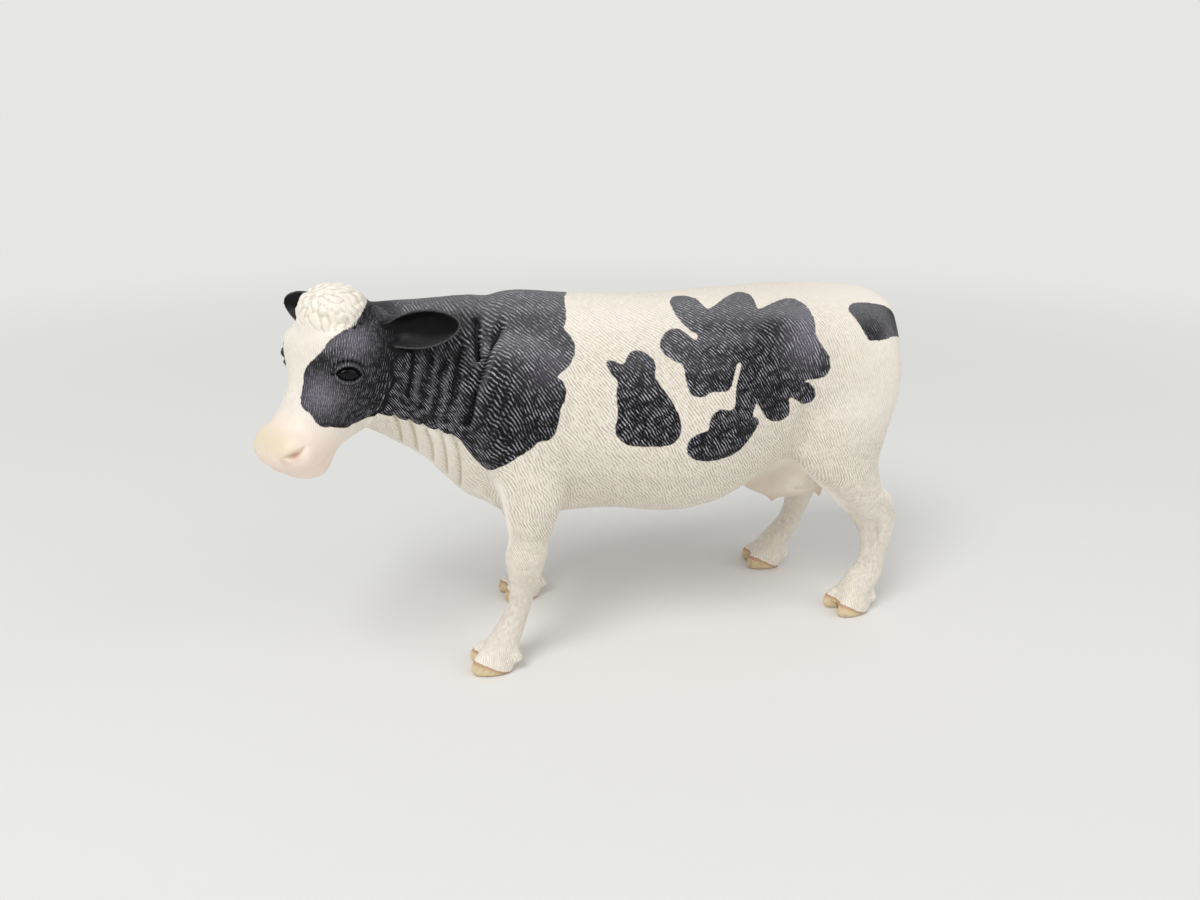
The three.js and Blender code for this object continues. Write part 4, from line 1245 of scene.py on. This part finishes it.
def paintedVinyl(name):
    material = newMaterial(name)
    strokes, depth, hollow = hairStrokes(), mark("depth"), mark("hollow")
    ridge = between(strokes, 0.36, 0.64)
    place = add("TexCoord").outputs["Object"]
    fleck, edge = noise(place, "fleck", 2.0), noise(place, "edge", 2.0)
    tone = noise(place, "tones", 3.0)
    groove = times(sums("SUBTRACT", 1.0, ridge), depth, True)
    groove = times(groove, between(edge, 0.3, 0.64, (0.6, 1.0)))
    # Furrows: a brown wash, partly painted shade; crests: paler, partly a painted highlight
    furrow = between(hollow, 0.12, 1.1)
    shallow = sums("SUBTRACT", 1.0, furrow)
    crest = between(hollow, -0.9, -0.12, (1.0, 0.0))

    # Ivory, darker in the grooves and folds: a brown wash there, partly painted shade
    white = mixed(times(groove, 0.72), tint("white"), tint("whiteGroove"))
    white = mixed(between(tone, 0.5, 0.8, (0.0, 0.22)), white, tint("tone"))
    white = mixed(times(furrow, 0.4), white, tint("wash"))

    # Charcoal, with painted sheen where it faces up and painted highlights on the ridges of the
    # hair
    # The painted sheen is broken up by flecks and strokes, and left out of the furrows as painted
    # shade
    sheenGrain = times(between(fleck, 0.3, 0.7, (0.6, 1.0)), between(strokes, 0.3, 0.6, (0.62, 1.0)))
    sheenGrain = times(sheenGrain, shallow)
    # Painted sheen where the surface faces up, and half as much on the crests
    sheen = sums("MAXIMUM", mark("sky"), times(crest, 0.5))
    black = mixed(times(sheen, sheenGrain), tint("black"), tint("blackSheen"))
    black = mixed(times(mark("violet"), sheenGrain), black, tint("violet"))
    # Painted highlights on the ridges of the hair, partly a dry-brushed look
    lit = times(between(strokes, 0.5, 0.72), between(fleck, 0.38, 0.56, (0.35, 1.0)))
    lit = times(times(lit, between(depth, 0.1, 0.7)), shallow)
    black = mixed(times(lit, between(tone, 0.3, 0.65, (0.6, 1.0))), black, tint("blackRidge"))

    # The brush's edge follows the grooves a little
    ink = sums("ADD", mark("ink"), times(sums("SUBTRACT", edge, 0.5), 0.4))
    ink = sums("ADD", ink, times(sums("SUBTRACT", ridge, 0.7), 0.09))
    inked = between(ink, -0.1, 0.1)

    pink = mixed(mark("snoutTop"), tint("pink"), tint("snoutTop"))
    pale = mixed(mark("snout"), white, pink)
    for wash, colour in (("nostril", "nostril"), ("udderTone", "udder"), ("teat", "teat")):
        pale = mixed(mark(wash), pale, tint(colour))
    base = mixed(inked, pale, black)
    hoofEdge = sums("ADD", mark("hoof"), times(sums("SUBTRACT", edge, 0.5), 0.6))
    horn = mixed(between(hoofEdge, 0.1, 1.1), tint("hoofPink"), tint("hoof"))
    horn = mixed(between(edge, 0.45, 0.75, (0.0, 0.6)), horn, tint("hoofPink"))
    # The hoof is darker in its hollows, partly painted shade
    horn = mixed(furrow, horn, tint("hoofDark"))
    base = mixed(between(hoofEdge, -0.15, 0.15), base, horn)
    eye = between(mark("eye"), -0.06, 0.06)
    base = mixed(eye, base, tint("eye"))

    rough = between(inked, 0.0, 1.0, (vinyl["roughWhite"], vinyl["roughBlack"]))
    rough = add("Mix", {0: eye, 2: rough, 3: vinyl["roughEye"]}).outputs[0]
    relief = times(sums("ADD", times(groove, -0.4), times(fleck, 0.08)), sums("SUBTRACT", 1.0, eye))
    level = between(inked, 0.0, 1.0, (vinyl["shineWhite"], vinyl["shineBlack"]))
    bump = add("Bump", {"Strength": 1.0, "Distance": vinyl["cut"] * mm, "Height": relief})
    shader = add("BsdfPrincipled", {
        "Base Color": base, "Roughness": rough, "IOR": 1.52, "Specular IOR Level": level,
        "Normal": bump.outputs[0]})
    add("OutputMaterial", {"Surface": shader.outputs[0]})
    return material


coat = paintedVinyl("handPaintedSoftVinyl")
for piece in pieces.values():
    piece.data.materials.append(coat)
print("materials done")

# Pale seamless paper that fades into the same white further off, and two soft lamps
studio = {"floor": "#e9e9e7", "haze": "#e6e6e5", "key": 5.2, "fill": 1.6, "world": 0.55,
          "lampsAim": (0, 0, 0.04)}


def paleSweep():
    bpy.ops.object.select_all(action="DESELECT")
    bpy.ops.mesh.primitive_circle_add(vertices=96, radius=4, fill_type="NGON", location=(0, 0, 0))
    floor = bpy.context.object
    floor.name = "paleSweep"
    material = newMaterial("paleSeamlessPaper")  # matt, so that it takes only soft shadows
    paper = add("BsdfPrincipled", {"Base Color": linear(studio["floor"]), "Roughness": 0.9,
                                   "Specular IOR Level": 0.1})
    haze = add("Emission", {"Color": linear(studio["haze"]), "Strength": 1.0})
    away = add("VectorMath", {0: add("TexCoord").outputs["Object"]}, operation="LENGTH")
    seen = add("LightPath").outputs["Is Camera Ray"]
    share = times(between(away.outputs["Value"], 0.12, 0.6), seen)
    both = add("MixShader", {0: share, 1: paper.outputs[0], 2: haze.outputs[0]})
    add("OutputMaterial", {"Surface": both.outputs[0]})
    floor.data.materials.append(material)
    return floor


def softLamp(name, place, size, power):
    light = bpy.data.lights.new(name, "AREA")
    light.shape = "DISK"
    light.size = size
    light.energy = power
    lamp = bpy.data.objects.new(name, light)
    bpy.context.scene.collection.objects.link(lamp)
    lamp.location = place
    way = Vector(studio["lampsAim"]) - Vector(place)
    lamp.rotation_euler = way.to_track_quat("-Z", "Y").to_euler()
    return lamp


floor = paleSweep()
key = softLamp("keyLamp", (-0.45, -0.45, 0.85), 0.55, studio["key"])
fill = softLamp("fillLamp", (0.7, -0.5, 0.5), 0.8, studio["fill"])

world = bpy.data.worlds.new("studio")
bpy.context.scene.world = world
world.use_nodes = True
bench["tree"] = world.node_tree
shade = mixed(add("LightPath").outputs["Is Camera Ray"], (studio["world"],) * 3 + (1,),
              linear(studio["haze"]))
world.node_tree.links.new(shade, world.node_tree.nodes["Background"].inputs["Color"])
bpy.context.scene.view_settings.view_transform = "Standard"

# The photograph's own angle
camera = bpy.data.objects.new("camera", bpy.data.cameras.new("camera"))
bpy.context.scene.collection.objects.link(camera)
camera.data.sensor_width = 36
camera.data.lens = 27.18
camera.data.clip_start = 0.01
camera.location = (-0.0487, -0.170, 0.103)
camera.rotation_euler = (math.radians(90 - 20), 0, math.radians(-16))
bpy.context.scene.camera = camera

print("scene ready")
